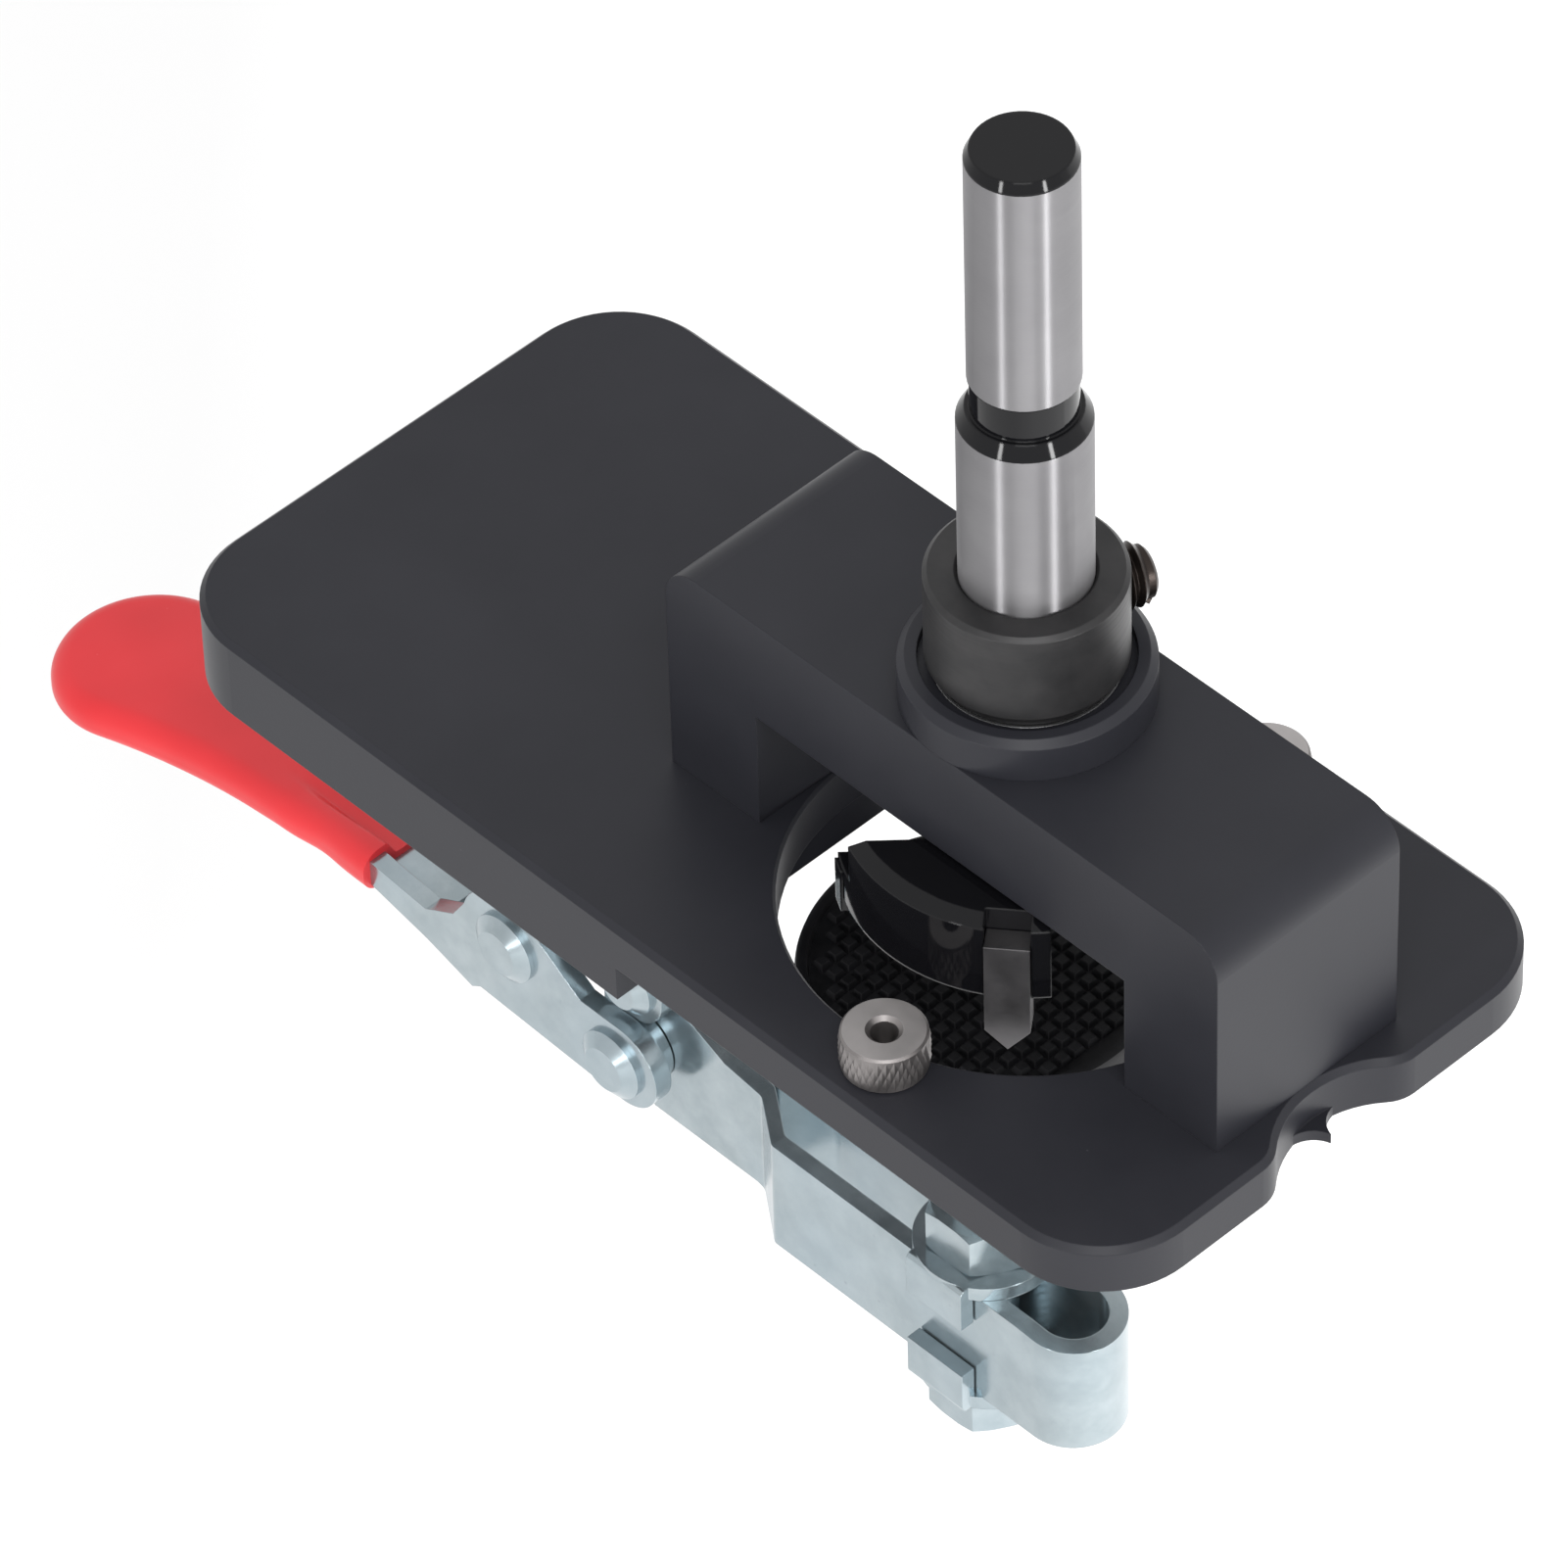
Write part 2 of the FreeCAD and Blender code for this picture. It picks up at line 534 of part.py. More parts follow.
def make_base_plate():
    body = piece("base_plate")
    slab(body, "XY", "0", "plate_thick", plate_outline())
    half, corner, left = "plate_width/2", "plate_corner", "(-plate_left+plate_corner)"
    slab(body, "XY", "-plate_step", "plate_thick/2", [
        (RISER_X, half),
        (RISER_X, "-" + half),
        arc(left, "-(%s-%s)" % (half, corner), corner, "-90", "-180"),
        arc(left, "(%s-%s)" % (half, corner), corner, "180", "90"),
    ])
    top = number("plate_thick")
    chamfer(body, "plate_bevel", lambda edge: flat_at(edge, top))
    # The sighting tongue closes the foot of the notch and ends in a point between two scallops.
    side = "(tongue_pitch+tongue_scallop)"
    tip = "(plate_right-tongue_point)"
    scallop = "(plate_right-tongue_point+sqrt(tongue_scallop^2-tongue_pitch^2))"
    opening = plain_angle("acos(tongue_pitch/tongue_scallop)")
    slab(body, "XY", "0", "tongue_thick", [
        arc(scallop, "tongue_pitch", "tongue_scallop", "270-%s" % opening, "scallop_turn"),
        ("(plate_right-notch_depth-tongue_root)", side),
        ("(plate_right-notch_depth-tongue_root)", "-" + side),
        arc(scallop, "-tongue_pitch", "tongue_scallop", "-scallop_turn", "-270+%s" % opening),
    ])
    slab(body, "XY", "-plate_step-1", "plate_thick+1", ["circle", "0", "0", "cup_hole/2"], cut=True)
    cup = number("cup_hole") / 2
    chamfer(body, "cup_bevel", lambda edge: flat_at(edge, top) and abs(edge.BoundBox.XMax - cup) < 1e-3
            and abs(edge.BoundBox.YMax - cup) < 1e-3)
    pilot_holes = [["circle", "pilot_ahead", side_sign + PILOT_OUT, "pilot_spigot/2+seat_gap"]
                   for side_sign in ("-", "")]
    slab(body, "XY", "-plate_step-1", "plate_thick+1", *pilot_holes, cut=True)
    slab(body, "XY", "-plate_step-1", "plate_thick+1", *leg_screw_circles("screw_dia/2+seat_gap"), cut=True)
    slab(body, "XY", "-plate_step-1", "screw_sink+screw_head_thick",
         *leg_screw_circles("screw_head/2+seat_gap"), cut=True)
    slab(body, "XY", "-plate_step-1", "-plate_step+foot_screw_bite+0.5",
         *[["circle", x, y, "screw_dia/2+seat_gap"] for x, y in foot_screw_places()], cut=True)


def leg_screw_places():
    return [(sign_x + LEG_MID, sign_y + "leg_screw_pitch/2") for sign_x in ("-", "") for sign_y in ("-", "")]


def leg_screw_circles(radius):
    return [["circle", x, y, radius] for x, y in leg_screw_places()]


def foot_screw_places():
    return [(x, sign + "foot_screw_y") for x in ("foot_screw_back", "foot_screw_front") for sign in ("-", "")]


def make_bridge():
    """A portal milled from one block, with the beam's upper ends rounded and a bore for the guide bush."""
    body = piece("bridge")
    corner = "bridge_round"
    slab(body, "XZ", "-bridge_width/2", "bridge_width/2", [
        ("-" + LEG_OUT, "plate_thick"),
        ("-" + LEG_IN, "plate_thick"),
        ("-" + LEG_IN, BEAM_LOW),
        (LEG_IN, BEAM_LOW),
        (LEG_IN, "plate_thick"),
        (LEG_OUT, "plate_thick"),
        arc("(%s-%s)" % (LEG_OUT, corner), "(%s-%s)" % (BEAM_TOP, corner), corner, "0", "90"),
        arc("(-%s+%s)" % (LEG_OUT, corner), "(%s-%s)" % (BEAM_TOP, corner), corner, "90", "180"),
    ])
    slab(body, "XY", BEAM_LOW + "-1", BEAM_TOP + "+1", ["circle", "0", "0", "bush_dia/2+seat_gap"], cut=True)
    slab(body, "XY", "plate_thick-1", "plate_thick+leg_screw_bite+0.5",
         *leg_screw_circles("screw_dia/2+seat_gap"), cut=True)


def socket_screw(label, length):
    """A cap screw along Z whose head's outer face lies at Z 0, with a hexagon socket."""
    screw = scrap(label)
    turned(screw, [("0", "0"), ("screw_head/2", "0"), ("screw_head/2", "screw_head_thick"),
                   ("screw_dia/2", "screw_head_thick"), ("screw_dia/2", length), ("0", length)])
    slab(screw, "XY", "-1", "screw_key_deep", hexagon("screw_key"), cut=True)
    return screw


def make_bridge_screws():
    screws = []
    for count, (x, y) in enumerate(leg_screw_places()):
        screw = socket_screw("bridge_screw_%d" % count, "plate_thick-screw_sink+leg_screw_bite")
        screws.append(place(screw, x, y, "screw_sink"))
    group("bridge_screws", screws)


def make_guide_bush():
    """Flanged bush in the beam, bored from both ends for the two bearings, with a rib between them."""
    body = piece("guide_bush")
    outer, bore, rib = "bush_dia/2", "bearing_dia/2+seat_gap", "bush_rib/2"
    recess = "boss_dia/2-boss_rim"
    upper_seat = SEAT_TOP + "-bearing_high"
    lower_seat = BEAM_LOW + "+bearing_high"
    turned(body, [
        (rib, upper_seat), (bore, upper_seat), (bore, SEAT_TOP), (recess, SEAT_TOP),
        (recess, BOSS_TOP), ("boss_dia/2-boss_bevel", BOSS_TOP),
        ("boss_dia/2", BOSS_TOP + "-boss_bevel"), ("boss_dia/2", BEAM_TOP), (outer, BEAM_TOP),
        (outer, BEAM_LOW), (bore, BEAM_LOW), (bore, lower_seat), (rib, lower_seat),
    ])


def make_bearings():
    for label, low in (("bearing_lower", BEAM_LOW), ("bearing_upper", SEAT_TOP + "-bearing_high")):
        body = piece(label)
        turned(body, box_steps("sleeve_dia/2+run_gap", low, "bearing_dia/2", "(%s)+bearing_high" % low))


def make_guide_sleeve():
    """Sleeve that turns in the bearings and guides the shank. Its flange carries the stop collar."""
    body = piece("guide_sleeve")
    bore = "shank_dia/2+run_gap"
    turned(body, [(bore, BEAM_LOW), ("sleeve_dia/2", BEAM_LOW), ("sleeve_dia/2", SEAT_TOP + "+side_gap"),
                  ("sleeve_flange/2", SEAT_TOP + "+side_gap"), ("sleeve_flange/2", COLLAR_Z),
                  (bore, COLLAR_Z)])


def gullet_outline(setting):
    """Space in front of a wing's end that stands off the drill axis, cut out of the head down to its hub."""
    opposite = "(wing_front+180)"
    at_hub = "(%s+%s)" % (opposite, plain_angle("asin(2*%s/head_hub)" % setting))
    far = "(cup_dia*0.9)"
    return [
        arc("0", "0", "head_hub/2", at_hub, "wing_back"),
        polar("0", "0", far, "wing_back"),
        polar("0", "0", far, "(wing_back*0.5+%s*0.5)" % opposite),
    ] + turned_plan([(far, setting)], opposite)


def make_boring_bit():
    """Shank, neck and two-winged head turned and milled from one bar, with a centre point."""
    body = piece("boring_bit")
    shank, chuck, neck, head, point = "shank_dia/2", "chuck_dia/2", "neck_dia/2", "head_dia/2", "point_dia/2"
    turned(body, [
        ("0", "head_low-point_drop"), (point, "head_low-point_drop+point_cone"), (point, "head_low"),
        (head, "head_low"), (head, HEAD_TOP + "-head_bevel"), (head + "-head_bevel_in", HEAD_TOP),
        (shank, HEAD_TOP), (shank, "shoulder_z"),
        (shank + "-shoulder_bevel_in", "shoulder_z+shoulder_bevel"), (neck, "shoulder_z+shoulder_bevel"),
        (neck, "chuck_z"), (chuck, "chuck_z"), (chuck, "shank_top-top_bevel"),
        (chuck + "-top_bevel_in", "shank_top"), ("0", "shank_top"),
    ])
    gullet = slab(body, "XY", "head_low-1", HEAD_TOP + "+1", gullet_outline("wing_set"), cut=True)
    repeat_round(body, gullet, "2")
    brow = slab(body, "XY", BLADE_TOP + "+brow_gap", HEAD_TOP + "+1", gullet_outline("brow_set"), cut=True)
    repeat_round(body, brow, "2")
    spur_seat = slab(body, "XY", "head_low-1", HEAD_TOP + "+1", spur_plan("braze"), cut=True)
    repeat_round(body, spur_seat, "2")
    blade_seat = slab(body, "XY", "head_low-1", BLADE_TOP + "+braze",
                      turned_plan(blade_plan("braze", "2"), "wing_front"), cut=True)
    repeat_round(body, blade_seat, "2")


def turned_plan(steps, angle):
    """Turns plan points given as (along, across) about the drill axis."""
    return [("(%s)*cos(%s)-(%s)*sin(%s)" % (along, angle, across, angle),
             "(%s)*sin(%s)+(%s)*cos(%s)" % (along, angle, across, angle)) for along, across in steps]


def spur_plan(gap):
    inner, outer = "(cup_dia/2-spur_deep-%s)" % gap, "(cup_dia/2+1)"
    half = "(spur_width/2+%s)" % gap
    return turned_plan(box_steps(inner, "-" + half, outer, half), "spur_angle")


def blade_plan(gap, spare):
    """A main cutter from above, along its cutting face. Its outer end is relieved behind the edge."""
    inner, outer = "(blade_root-%s)" % gap, "(%s+%s)" % (BLADE_REACH, spare)
    back = "(wing_set+blade_thick+%s)" % gap
    return [(inner, "wing_set"), (outer, "wing_set"), (outer + "-blade_relief", back), (inner, back)]


def make_main_cutters():
    """Two flat carbide cutters, each set into the cutting end of a wing."""
    cutters = []
    for count, turn in enumerate((0, 180)):
        cutter = scrap("main_cutter_%d" % count)
        slab(cutter, "XY", "head_low-blade_out", BLADE_TOP, blade_plan("0", "0"))
        cutters.append(place(cutter, axis=(0, 0, 1), angle="wing_front+%d" % turn))
    group("main_cutters", cutters)


def make_scoring_spurs():
    """Two carbide spurs let into the rim. Each ends in a point that scores the edge of the cup."""
    spurs = []
    low = "(head_low-spur_drop)"
    for count, turn in enumerate((0, 180)):
        spur = scrap("scoring_spur_%d" % count)
        slab(spur, "YZ", "cup_dia/2-spur_deep", "cup_dia/2", [
            ("-spur_width/2", low), ("0", low + "-spur_point"), ("spur_width/2", low),
            ("spur_width/2", low + "+spur_tall"), ("-spur_width/2", low + "+spur_tall")])
        spurs.append(place(spur, axis=(0, 0, 1), angle="spur_angle+%d" % turn))
    group("scoring_spurs", spurs)


def make_stop_collar():
    """Plain turned ring with one threaded cross hole."""
    body = piece("stop_collar")
    bore, outer, bevel, mouth = "shank_dia/2+run_gap", "collar_dia/2", "collar_bevel", "collar_mouth"
    turned(body, [
        (bore, "0"), (outer + "-" + bevel, "0"), (outer, bevel), (outer, "collar_high-" + bevel),
        (outer + "-" + bevel, "collar_high"), (bore + "+" + mouth, "collar_high"),
        (bore, "collar_high-" + mouth),
    ])
    slab(body, "YZ", "0", "collar_dia", ["circle", "0", "set_screw_up", "set_screw_dia/2+seat_gap"], cut=True)
    place(body, z=COLLAR_Z, axis=(0, 0, 1), angle="set_screw_turn")
    screw = piece("collar_set_screw")
    slab(screw, "YZ", "shank_dia/2+run_gap+seat_gap", "set_screw_out",
         ["circle", "0", "set_screw_up", "set_screw_dia/2"])
    key = [("(%s)" % across, "(%s)+set_screw_up" % up) for across, up in hexagon("screw_key")]
    slab(screw, "YZ", "set_screw_out-2.5", "set_screw_out+1", key, cut=True)
    place(screw, z=COLLAR_Z, axis=(0, 0, 1), angle="set_screw_turn")


def make_pilot_bushes():
    """Hardened drill bushes with a knurled head that stands on the plate."""
    top = "plate_thick+pilot_height"
    for label, sign in (("pilot_bush_near", "-"), ("pilot_bush_far", "")):
        body = piece(label)
        bore, mouth = "pilot_bore/2", "pilot_mouth"
        turned(body, [
            (bore, "0"), ("pilot_spigot/2", "0"), ("pilot_spigot/2", "plate_thick"),
            ("pilot_head/2", "plate_thick"), ("pilot_head/2", top + "-" + mouth),
            ("pilot_head/2-" + mouth, top), (bore + "+" + mouth, top), (bore, top + "-" + mouth),
        ])
        place(body, "pilot_ahead", sign + PILOT_OUT)


def ear_outline():
    """Side view of a clamp ear: a tall tab with two rivets, hollowed between them for the spacer rings."""
    top = "-plate_step"
    rise = "(link_pin_z+ring_dia/2+ear_ring_gap)"
    return [
        ("base_back", top),
        ("base_back", "base_pin_z+ear_radius"),
        arc("base_pin_x", "base_pin_z", "ear_radius", "160", "290"),
        ("link_pin_x-ear_rise_run", rise),
        ("lever_pin_x-ring_dia/2-ear_rise_run/2", rise),
        arc("arm_pin_x", "arm_pin_z", "ear_radius", "200", "360"),
        ("base_front", "arm_pin_z+3*ear_radius"),
        ("base_front", top),
    ]


def make_clamp_base():
    """Two folded brackets, mirror images, that hang the clamp under the thick end of the plate."""
    near = piece("clamp_base_near")
    top, bend = "(-plate_step)", "foot_bend"
    inner, outer = EAR_IN, EAR_OUT
    outside = "(foot_bend+ear_sheet)"
    slab(near, "YZ", "base_back-1", "base_front+1", [
        ("-" + inner, "arm_pin_z-2*ear_radius"),
        ("-" + inner, top + "-" + outside),
        arc("(-%s-%s)" % (inner, outside), top + "-" + outside, outside, "0", "90"),
        ("-foot_half", top),
        ("-foot_half", top + "-ear_sheet"),
        ("(-%s-%s)" % (inner, outside), top + "-ear_sheet"),
        arc("(-%s-%s)" % (inner, outside), top + "-" + outside, bend, "90", "0"),
        ("-" + outer, "arm_pin_z-2*ear_radius"),
    ])
    frame = box_steps("base_back-3", "arm_pin_z-3*ear_radius", "base_front+3", "0")
    slab(near, "XZ", "-foot_half-1", "0", frame, ear_outline(), cut=True)
    slab(near, "XZ", "-foot_half", "0", ["circle", "arm_pin_x", "arm_pin_z", "pin_dia/2+seat_gap"],
         ["circle", "base_pin_x", "base_pin_z", "pin_dia/2+seat_gap"], cut=True)
    slab(near, "XY", "-plate_step-2*ear_sheet", "-plate_step+1",
         *[["circle", x, "-foot_screw_y", "screw_dia/2+seat_gap"] for x in ("foot_screw_back", "foot_screw_front")],
         cut=True)
    far = doc.addObject("Part::Mirroring", "clamp_base_far")
    far.Source = near
    far.Normal = FreeCAD.Vector(0, 1, 0)
    keep("clamp_base_far", far)
    screws = []
    for count, (x, y) in enumerate(foot_screw_places()):
        screw = socket_screw("clamp_screw_%d" % count, "screw_head_thick+ear_sheet+foot_screw_bite")
        screws.append(place(screw, x, y, "-plate_step-ear_sheet-screw_head_thick"))
    group("clamp_base_screws", screws)


def make_clamp_arm():
    """One strip folded into a long loop: side by side at the pivots, parted by a joggle round the spindle."""
    body = piece("clamp_arm")
    outer, inner = "arm_half", "(arm_half-arm_sheet)"
    rear, slit = STRIP_BACK, "arm_slit"
    end = "(lever_pin_x-arm_tail-2)"
    slab(body, "XY", "arm_low-1", "arm_pin_z+arm_eye+1", [
        (end, rear), ("joggle_back", rear), ("joggle_front", outer),
        arc("arm_loop_x", "0", outer, "90", "-90"),
        ("joggle_front", "-" + outer), ("joggle_back", "-" + rear), (end, "-" + rear), (end, "-" + slit),
        ("joggle_back", "-" + slit), ("joggle_front", "-" + inner),
        arc("arm_loop_x", "0", inner, "-90", "90"),
        ("joggle_front", inner), ("joggle_back", slit), (end, slit),
    ])
    bends = (number("joggle_back"), number("joggle_front"))
    rounding(body, "joggle_bend", lambda edge: edge.BoundBox.ZMax - edge.BoundBox.ZMin > 1
             and edge.BoundBox.XMax - edge.BoundBox.XMin < 1e-6
             and min(abs(middle(edge).x - bend) for bend in bends) < 1e-3)
    loop_end = "(arm_loop_x+arm_half)"
    side = [
        ("%s+1" % loop_end, "arm_top-arm_nose_fall"),
        ("arm_loop_x-arm_nose_run", "arm_top"),
        ("joggle_front", "arm_top"),
        ("joggle_back-arm_eye_run", "arm_top+arm_eye_rise"),
        arc("arm_pin_x", "arm_pin_z", "arm_eye", "-20", "180"),
        arc("lever_pin_x", "lever_pin_z", "arm_tail", "180", "235"),
        ("lever_pin_x+arm_tail_run", "arm_rear_low"),
        ("joggle_back-arm_tail_run", "arm_rear_low"),
        ("joggle_front", "arm_low"),
        ("%s+1" % loop_end, "arm_low"),
    ]
    frame = box_steps("%s-3" % end, "arm_low-3", "%s+3" % loop_end, "arm_pin_z+arm_eye+3")
    slab(body, "XZ", "-arm_half-1", "arm_half+1", frame, side, cut=True)
    slab(body, "XZ", "-arm_half-1", "arm_half+1", ["circle", "arm_pin_x", "arm_pin_z", "pin_dia/2+run_gap"],
         ["circle", "lever_pin_x", "lever_pin_z", "pin_dia/2+run_gap"], cut=True)


def lever_side():
    """Side view of the lever, from the cheeks' nose to the end of the flat tang."""
    nose_x, nose_z = "(lever_pin_x+nose_ahead)", "(lever_pin_z+nose_up)"
    tang_end = "(bulb_x-bulb_radius)"
    return [
        arc(nose_x, nose_z, "nose_radius", "-90", "90"),
        ("link_pin_x+lobe_radius+lobe_run", "%s+nose_radius" % nose_z),
        arc("link_pin_x", "link_pin_z", "lobe_radius", "lobe_from", "lobe_to"),
        ("waist_x+waist_run", "waist_z+waist_rise"),
        ("waist_x", "waist_z"),
        ("mouth_x", "mouth_top"),
        ("valley_end", "tang_top"),
        (tang_end, "tang_top-tang_fall"),
        (tang_end, "tang_top-tang_fall-tang_thick"),
        ("valley_end", "tang_top-tang_thick"),
        ("mouth_x", "mouth_low"),
        ("waist_x", "mouth_low-waist_drop"),
        ("floor_start", "%s-nose_radius+floor_rise" % nose_z),
        ("floor_start+floor_ramp", "%s-nose_radius+floor_step" % nose_z),
        (nose_x + "-nose_run", "%s-nose_radius+nose_rise" % nose_z),
    ]


def paddle_plan(half, radius, start):
    """Plan of the tang or the grip: parallel neck, hollow flanks, and a round end that they run into."""
    flank = "neck_radius"
    lean = plain_angle("acos((%s+%s)/(%s+%s))" % (half, flank, flank, radius))
    neck_x = "(bulb_x+sqrt((%s+%s)^2-(%s+%s)^2))" % (flank, radius, half, flank)
    return [
        (start, half),
        arc(neck_x, "(%s+%s)" % (half, flank), flank, "-90", "-90-%s" % lean),
        arc("bulb_x", "0", radius, "90-%s" % lean, "270+%s" % lean),
        arc(neck_x, "-(%s+%s)" % (half, flank), flank, "90+%s" % lean, "90"),
        (start, "-(%s)" % half),
    ]


def make_lever():
    """Channel-shaped lever: two cheeks that straddle the arm, joined by a floor that flattens into a tang."""
    body = piece("clamp_lever")
    half = CHEEK_OUT
    nose_end = "(lever_pin_x+nose_ahead+nose_radius+1)"
    slab(body, "XZ", "-bulb_radius", "bulb_radius", lever_side())
    frame = box_steps("bulb_x-bulb_radius-2", "-bulb_radius-2", nose_end + "+2", "bulb_radius+2")
    slab(body, "XY", "waist_z-lobe_radius*3", "link_pin_z+lobe_radius*2", frame,
         paddle_plan(half, "(bulb_radius-grip_skin)", nose_end), cut=True)
    nose_z = "(lever_pin_z+nose_up)"
    floor = "cheek_sheet"
    slab(body, "XZ", "-" + CHEEK_IN, CHEEK_IN, [
        (nose_end, "lever_pin_z-3*nose_radius"),
        (nose_end, "link_pin_z+2*lobe_radius"),
        ("mouth_x", "link_pin_z+2*lobe_radius"),
        ("valley_end", "tang_top+run_out"),
        ("mouth_x", "mouth_low+mouth_floor"),
        ("waist_x", "mouth_low-waist_drop+" + floor),
        ("floor_start", "%s-nose_radius+floor_rise+%s" % (nose_z, floor)),
        ("floor_start", "lever_pin_z-3*nose_radius"),
    ], cut=True)
    slab(body, "XZ", "-bulb_radius", "bulb_radius", ["circle", "lever_pin_x", "lever_pin_z", "pin_dia/2+seat_gap"],
         ["circle", "link_pin_x", "link_pin_z", "pin_dia/2+seat_gap"], cut=True)
    return body


def make_grip(lever):
    """Dipped grip: a soft skin over the tang, with the channel's valley left at its mouth."""
    outer = scrap("grip_outside")
    end = "(bulb_x-bulb_radius-1)"
    slab(outer, "XZ", "-bulb_radius-1", "bulb_radius+1", [
        ("mouth_x", "mouth_top+grip_lip"),
        (end, "tang_top-tang_fall+grip_skin"),
        (end, "tang_top-tang_fall-tang_thick-grip_skin"),
        ("mouth_x", "mouth_low-grip_lip"),
    ])
    frame = box_steps("bulb_x-bulb_radius-4", "-bulb_radius-4", "mouth_x+4", "bulb_radius+4")
    slab(outer, "XY", "mouth_low-bulb_radius*2", "mouth_top+bulb_radius", frame,
         paddle_plan("(%s+grip_lip)" % CHEEK_OUT, "bulb_radius", "mouth_x"), cut=True)
    mouth = number("mouth_x")
    rounding(outer, "grip_round", lambda edge: abs(middle(edge).x - mouth) > 1e-3
             and edge.BoundBox.XMax - edge.BoundBox.XMin > 1.5)
    slab(outer, "XZ", "-%s+grip_lip" % CHEEK_IN, "%s-grip_lip" % CHEEK_IN, [
        ("mouth_x+1", "mouth_top+grip_lip+1"),
        ("valley_end+grip_run/2", "mouth_top+grip_lip+1"),
        ("valley_end+grip_run", "tang_top+grip_lip+grip_rise"),
        ("mouth_x", "mouth_low+mouth_floor+grip_lip"),
        ("mouth_x+1", "mouth_low+mouth_floor+grip_lip"),
    ], cut=True)
    skin = doc.addObject("Part::Cut", "handle_grip")
    skin.Base = outer
    skin.Tool = lever
    keep("handle_grip", skin)


def make_toggle_link():
    """Short link between the cheeks. Its eye on the base rivet is loose."""
    body = piece("toggle_link")
    eye = "(pin_dia/2+loose_eye+1.3)"
    lean = plain_angle("atan((base_pin_z-link_pin_z)/(link_pin_x-base_pin_x))")
    slab(body, "XZ", "-" + STRIP_BACK, STRIP_BACK, [
        arc("link_pin_x", "link_pin_z", "link_half_eye", "90-%s" % lean, "-90-%s" % lean),
        arc("base_pin_x", "base_pin_z", eye, "270-%s" % lean, "90-%s" % lean),
    ])
    slab(body, "XZ", "-" + EAR_OUT, EAR_OUT, ["circle", "link_pin_x", "link_pin_z", "pin_dia/2+run_gap"],
         ["circle", "base_pin_x", "base_pin_z", "pin_dia/2+loose_eye"], cut=True)


def make_rivet(label, x, z, half_grip, head):
    """Rivet along Y with a bevelled head at each end."""
    body = piece(label)
    flat = "(rivet_flat/2*%s/rivet_head)" % head
    turned(body, [
        ("0", "-(%s)-rivet_rise" % half_grip), (flat, "-(%s)-rivet_rise" % half_grip),
        ("%s/2" % head, "-(%s)-rivet_rise*0.35" % half_grip), ("%s/2" % head, "-(%s)" % half_grip),
        ("pin_dia/2", "-(%s)" % half_grip), ("pin_dia/2", half_grip),
        ("%s/2" % head, half_grip), ("%s/2" % head, "(%s)+rivet_rise*0.35" % half_grip),
        (flat, "(%s)+rivet_rise" % half_grip), ("0", "(%s)+rivet_rise" % half_grip),
    ])
    place(body, x, "0", z, axis=(1, 0, 0), angle="-90")


def make_rings(label, x, z):
    """The pair of spacer rings that keep the cheeks off the piece between them."""
    rings = []
    for side, low, high in (("near", "-" + CHEEK_IN, "-" + EAR_IN), ("far", EAR_IN, CHEEK_IN)):
        ring = scrap("%s_%s" % (label, side))
        slab(ring, "XZ", low, high, ["circle", x, z, "ring_dia/2"], ["circle", x, z, "pin_dia/2+seat_gap"])
        rings.append(ring)
    group(label, rings)


def make_saddle(label, z, turn):
    """Saddle washer: a round plate with two wings folded over the sides of the arm."""
    body = piece(label)
    inside = "(arm_half+saddle_gap)"
    outside = "(arm_half+saddle_gap+saddle_sheet)"
    slab(body, "XY", "0", "saddle_sheet", ["circle", "0", "0", "saddle_radius"])
    slab(body, "YZ", "-saddle_wing", "saddle_wing", [
        ("-" + outside, "-saddle_reach"), ("-" + inside, "-saddle_reach"), ("-" + inside, "0"), (inside, "0"),
        (inside, "-saddle_reach"), (outside, "-saddle_reach"),
        arc("(%s-saddle_sheet/2)" % outside, "saddle_sheet/2", "saddle_sheet/2", "0", "90"),
        arc("(-%s+saddle_sheet/2)" % outside, "saddle_sheet/2", "saddle_sheet/2", "90", "180"),
    ])
    slab(body, "XY", "-1", "saddle_sheet+1", ["circle", "0", "0", "spindle_dia/2+2*run_gap"], cut=True)
    place(body, "spindle_x", "0", z, axis=(1, 0, 0) if turn else None, angle=turn or "0")


def make_nut(label, z):
    """Hexagon nut with its corners turned off at both faces."""
    body = piece(label)
    corner = "(nut_flats/2/cos(30))"
    slab(body, "XY", "0", "nut_thick", hexagon("nut_flats"), ["circle", "0", "0", "spindle_dia/2+run_gap"])
    turned(body, [("nut_flats/2-0.1", "-0.1"), (corner + "+0.6", "-0.1"), (corner + "+0.6", "nut_bevel*1.4")],
           [("nut_flats/2-0.1", "nut_thick+0.1"), (corner + "+0.6", "nut_thick-nut_bevel*1.4"),
            (corner + "+0.6", "nut_thick+0.1")], cut=True)
    place(body, "spindle_x", "0", z)


